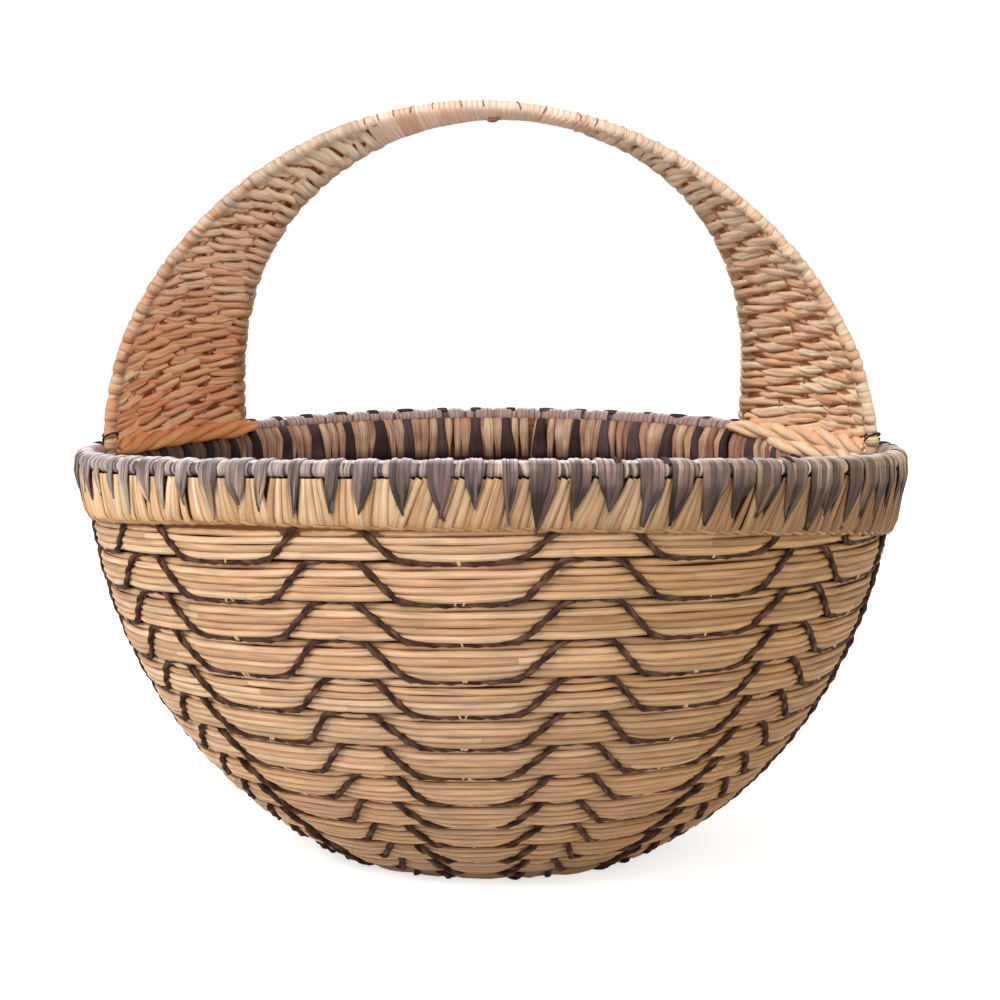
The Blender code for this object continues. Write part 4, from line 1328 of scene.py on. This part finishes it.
def ranged(tree, value, low, high, from_low=0.0, from_high=1.0):
    """Maps a value from one range to another."""
    values = {"Value": value, "From Min": from_low, "From Max": from_high, "To Min": low, "To Max": high}
    return linked(tree, "ShaderNodeMapRange", values).outputs["Result"]


def felt(tree, shader, height, strength, depth):
    """A relief that is felt in the light but not in the mesh."""
    relief = linked(tree, "ShaderNodeBump", {"Height": height, "Strength": strength, "Distance": depth})
    tree.links.new(relief.outputs["Normal"], shader.inputs["Normal"])


def new_surface(name):
    made = bpy.data.materials.new(name)
    made.use_nodes = True
    return made, made.node_tree, made.node_tree.nodes["Principled BSDF"]


def streaks(tree, place, scale, detail):
    """Noise that is drawn out along the strands."""
    scaled = linked(tree, "ShaderNodeMapping", {"Vector": place, "Scale": scale}).outputs["Vector"]
    values = {"Vector": scaled, "Scale": 1.0, "Detail": detail}
    return linked(tree, "ShaderNodeTexNoise", values).outputs["Fac"]


def fibre_surface(name, along, across, contrast, roughness, bump, gloss):
    """A strand's own colour, with fine lines along it, dark splits, blotches, and a grain to be felt."""
    made, tree, shader = new_surface(name)
    place = linked(tree, "ShaderNodeUVMap", uv_map="UVMap").outputs["UV"]
    layers = []
    brightness = 1.0
    for (long_share, broad_share, level), detail, noise_range, (darker, lighter) in FIBRE_LAYERS:
        layers.append(streaks(tree, place, (along * long_share, across * broad_share, level), detail))
        share = ranged(tree, layers[-1], 1 + contrast * darker, 1 + contrast * lighter, *noise_range)
        product = linked(tree, "ShaderNodeMath", {0: brightness, 1: share}, operation="MULTIPLY")
        brightness = product.outputs["Value"]
    shade = linked(tree, "ShaderNodeAttribute", attribute_name="shade").outputs["Color"]
    colour = linked(tree, "ShaderNodeVectorMath", {0: shade, "Scale": brightness}, operation="SCALE")
    tree.links.new(colour.outputs["Vector"], shader.inputs["Base Color"])
    rough, smooth = roughness + ROUGHNESS_SPREAD, roughness - ROUGHNESS_SPREAD
    tree.links.new(ranged(tree, layers[0], rough, smooth, *ROUGH_RANGE), shader.inputs["Roughness"])
    felt(tree, shader, layers[0], bump, FIBRE_RELIEF)
    shader.inputs["Specular IOR Level"].default_value = gloss
    return made


def rod_surface(name, colour):
    """Bare cane for the rods that show between the windings."""
    made, tree, shader = new_surface(name)
    place = linked(tree, "ShaderNodeTexCoord").outputs["Object"]
    values = {"Vector": place, "Scale": CANE_GRAIN, "Detail": CANE_DETAIL}
    grain = linked(tree, "ShaderNodeTexNoise", values).outputs["Fac"]
    ramp = linked(tree, "ShaderNodeValToRGB", {"Fac": grain})
    for stop, position, share in zip(ramp.color_ramp.elements, CANE_STOPS, CANE_SHARES):
        stop.position = position
        stop.color = (*(linear(colour) * share), 1)
    tree.links.new(ramp.outputs["Color"], shader.inputs["Base Color"])
    tree.links.new(ranged(tree, grain, *CANE_ROUGHNESSES), shader.inputs["Roughness"])
    felt(tree, shader, grain, CANE_BUMP, CANE_RELIEF)
    return made


def repaint_nodes(surface):
    """The rods and ribs keep their CAD shape and get the bare cane surface."""
    for name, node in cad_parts.items():
        if name.startswith(("handle_rib", "handle_outer", "handle_inner")):
            node.data.materials.clear()
            node.data.materials.append(surface)


def seen_or_lit(tree, lit, seen):
    """One shader for what lights the basket, and another for what the camera, gloss and glass see."""
    rays = linked(tree, "ShaderNodeLightPath").outputs
    direct = {0: rays["Is Camera Ray"], 1: rays["Is Glossy Ray"]}
    direct_share = linked(tree, "ShaderNodeMath", direct, operation="MAXIMUM").outputs["Value"]
    every = {0: direct_share, 1: rays["Is Transmission Ray"]}
    share = linked(tree, "ShaderNodeMath", every, operation="MAXIMUM").outputs["Value"]
    return linked(tree, "ShaderNodeMixShader", {0: share, 1: lit, 2: seen}).outputs["Shader"]


def floor():
    """A white floor that fades into the background."""
    mesh = bpy.data.meshes.new("floor")
    half = FLOOR_SIZE / 2
    corners = [(-half, -half), (half, -half), (half, half), (-half, half)]
    mesh.from_pydata([(x, y, -FLOOR_DROP) for x, y in corners], [], [(0, 1, 2, 3)])
    surface, tree, shader = new_surface("floor_white")
    shader.inputs["Base Color"].default_value = (*linear(FLOOR_WHITE), 1)
    shader.inputs["Roughness"].default_value = FLOOR_ROUGHNESS
    shader.inputs["Specular IOR Level"].default_value = 0.0
    glow = linked(tree, "ShaderNodeEmission", {"Color": (1, 1, 1, 1), "Strength": FLOOR_GLOW}).outputs[0]
    both = linked(tree, "ShaderNodeAddShader", {0: shader.outputs[0], 1: glow}).outputs[0]
    mixed = seen_or_lit(tree, shader.outputs[0], both)
    tree.links.new(mixed, tree.nodes["Material Output"].inputs["Surface"])
    mesh.materials.append(surface)
    made = bpy.data.objects.new("floor", mesh)
    bpy.context.scene.collection.objects.link(made)


def lamp(name, place, size, power, colour):
    """A square lamp that faces the basket."""
    light = bpy.data.lights.new(name, "AREA")
    light.size = size
    light.energy = power
    light.color = colour
    made = bpy.data.objects.new(name, light)
    made.location = place
    way = np.asarray(LAMP_AIM, float) - np.asarray(place, float)
    tilt = math.acos(-way[2] / np.linalg.norm(way))
    made.rotation_euler = (tilt, 0, math.atan2(way[1], way[0]) - math.pi / 2)
    bpy.context.scene.collection.objects.link(made)


def sky():
    """A white background that lights the basket from all sides."""
    world = bpy.data.worlds.new("studio")
    world.use_nodes = True
    tree = world.node_tree
    lit = tree.nodes["Background"]
    lit.inputs["Strength"].default_value = SKY_STRENGTH
    lit.inputs["Color"].default_value = (1, 1, 1, 1)
    seen = linked(tree, "ShaderNodeBackground", {"Color": (1, 1, 1, 1), "Strength": 1.0}).outputs[0]
    mixed = seen_or_lit(tree, lit.outputs[0], seen)
    tree.links.new(mixed, tree.nodes["World Output"].inputs["Surface"])
    bpy.context.scene.world = world


def camera():
    """A camera that looks down a little at the front of the basket."""
    data = bpy.data.cameras.new("camera")
    data.sensor_width = SENSOR_WIDTH
    data.lens = SENSOR_WIDTH * FOCAL_PIXELS / PICTURE_PIXELS
    made = bpy.data.objects.new("camera", data)
    made.location = CAMERA_PLACE
    made.rotation_euler = (math.pi / 2 - math.atan(HORIZON_PIXELS / FOCAL_PIXELS), 0, 0)
    bpy.context.scene.collection.objects.link(made)
    bpy.context.scene.camera = made


BAND_CORE_RADIUS = (BAND_OUTER_RADIUS + BAND_INNER_RADIUS - BAND_LEAN / 2) / 2
BAND_CORE_HEIGHT = (RIM_MIDDLE_HEIGHT + BAND_BOTTOM) / 2
BAND_HALVES = (BAND_WIDTH / 2 - CORE_INSET, (RIM_MIDDLE_HEIGHT - BAND_BOTTOM) / 2)
RIM_HALVES = (RIM_WRAP_WIDTH / 2 - RIM_CORE_INSET, RIM_WRAP_HEIGHT / 2 - RIM_CORE_INSET)
COIL_TOP_RADIUS = float(on_profile(BAND_LENGTH)[0]) - COIL_THICKNESS / 2
COIL_TOP_HALVES = (COIL_THICKNESS / 2 - SEAT_GAP, CORE_HALF_THICKNESS)

# Each piece: its name, what lays its strands and with which values, the strands' sides, painted edge
# shade and seed, its surface and slot, and the node that it stands for, if any
PIECES = (
    ("coil_straws_outside", coil_straws, (False, STRAW_STEP),
     6, STRAW_EDGE_SHADE, 11, "straw_fibre", "straw", "body_coil"),
    ("coil_straws_inside", coil_straws, (True, INSIDE_STRAW_STEP), 6, STRAW_EDGE_SHADE, 12, "straw_fibre", "straw"),
    ("coil_core", coil_core, (), 6, UNSHADED_EDGE, 0, "straw_shadow", "straw"),
    ("coil_heart", coil_heart, (), 6, STRAW_EDGE_SHADE, 13, "straw_fibre", "straw"),
    ("binding_cord_strands", binding_cord, (), 6, STRIP_EDGE_SHADE, 23, "dark_cord", "cord", "binding_cord"),
    ("inside_cord", inside_cord, (), 6, UNSHADED_EDGE, 29, "dark_cord", "cord"),
    ("groove_ticks", groove_ticks, (), 4, UNSHADED_EDGE, 31, "straw_fibre", "straw"),
    ("rim_core", ring_core, (RIM_MIDDLE_RADIUS, RIM_MIDDLE_HEIGHT, RIM_HALVES, RIM_ROD),
     12, UNSHADED_EDGE, 0, "rim_strip", "rim_strip"),
    ("rim_strips", rim_strips, (), 8, STRIP_EDGE_SHADE, 37, "rim_strip", "rim_strip", "rim_wrap"),
    ("band_core", ring_core, (BAND_CORE_RADIUS, BAND_CORE_HEIGHT, BAND_HALVES, BAND_SHADOW),
     12, UNSHADED_EDGE, 0, "straw_shadow", "band_straw"),
    ("coil_top", ring_core, (COIL_TOP_RADIUS, BAND_BOTTOM, COIL_TOP_HALVES, BAND_SHADOW),
     12, UNSHADED_EDGE, 0, "straw_shadow", "straw"),
    ("band_straws", band_straws, (), 8, BAND_STRAW_EDGE_SHADE, 41, "band_straw", "band_straw", "border_band"),
    ("band_bead", band_bead, (), 6, STRAW_EDGE_SHADE, 47, "band_straw", "band_straw"),
    ("band_inside_bars", band_bars, (), 8, WEAVE_EDGE_SHADE, 43, "rim_strip", "rim_strip"),
    ("rim_caps", rim_caps, (), 8, STRIP_EDGE_SHADE, 59, "rim_strip", "rim_strip"),
    ("handle_weave_left", woven_panel, (LEFT, SHADED_LEFT_WEAVE, LEFT_GAP_SHADE),
     6, WEAVE_EDGE_SHADE, 52, "handle_weave", "panel_left", "handle_panel_left"),
    ("handle_weave_right", woven_panel, (RIGHT, LIT_RIGHT_WEAVE, RIGHT_GAP_SHADE),
     6, WEAVE_EDGE_SHADE, 54, "handle_weave", "panel_right", "handle_panel_right"),
    ("hoop_windings", hoop_windings, (), 8, WEAVE_EDGE_SHADE, 71, "hoop_winding", "hoop"),
    ("handle_top_strip", top_strip, (), 8, WEAVE_EDGE_SHADE, 61, "hoop_winding", "wrap_strip", "handle_top_wrap"),
    ("foot_roll_strands_left", foot_roll, (LEFT, SHADED_LEFT_ROLL_TONES),
     10, WEAVE_EDGE_SHADE, 66, "handle_weave", "panel_left", "foot_roll_left"),
    ("foot_roll_strands_right", foot_roll, (RIGHT, LIT_RIGHT_ROLL_TONES),
     10, WEAVE_EDGE_SHADE, 68, "handle_weave", "panel_right", "foot_roll_right"),
    ("foot_lashings", foot_lashings, (), 6, UNSHADED_EDGE, 0, "dark_cord", "cord"),
)


def dress():
    """Makes the surfaces and every piece, and paints the rods that keep their CAD shape."""
    surfaces = {name: fibre_surface(name, *looks) for name, looks in FIBRES.items()}
    for name, lay, values, sides, painted_edge_shade, seed, surface, slot, *replaced in PIECES:
        strands = Strands(name, sides, painted_edge_shade, seed)
        lay(strands, *values)
        strands.build(surfaces[surface], replaced)
    repaint_nodes(rod_surface("bare_cane", ROD_TAN))


dress()
floor()
sky()
for light in LAMPS:
    lamp(*light)
camera()
bpy.context.scene.view_settings.view_transform = "Standard"
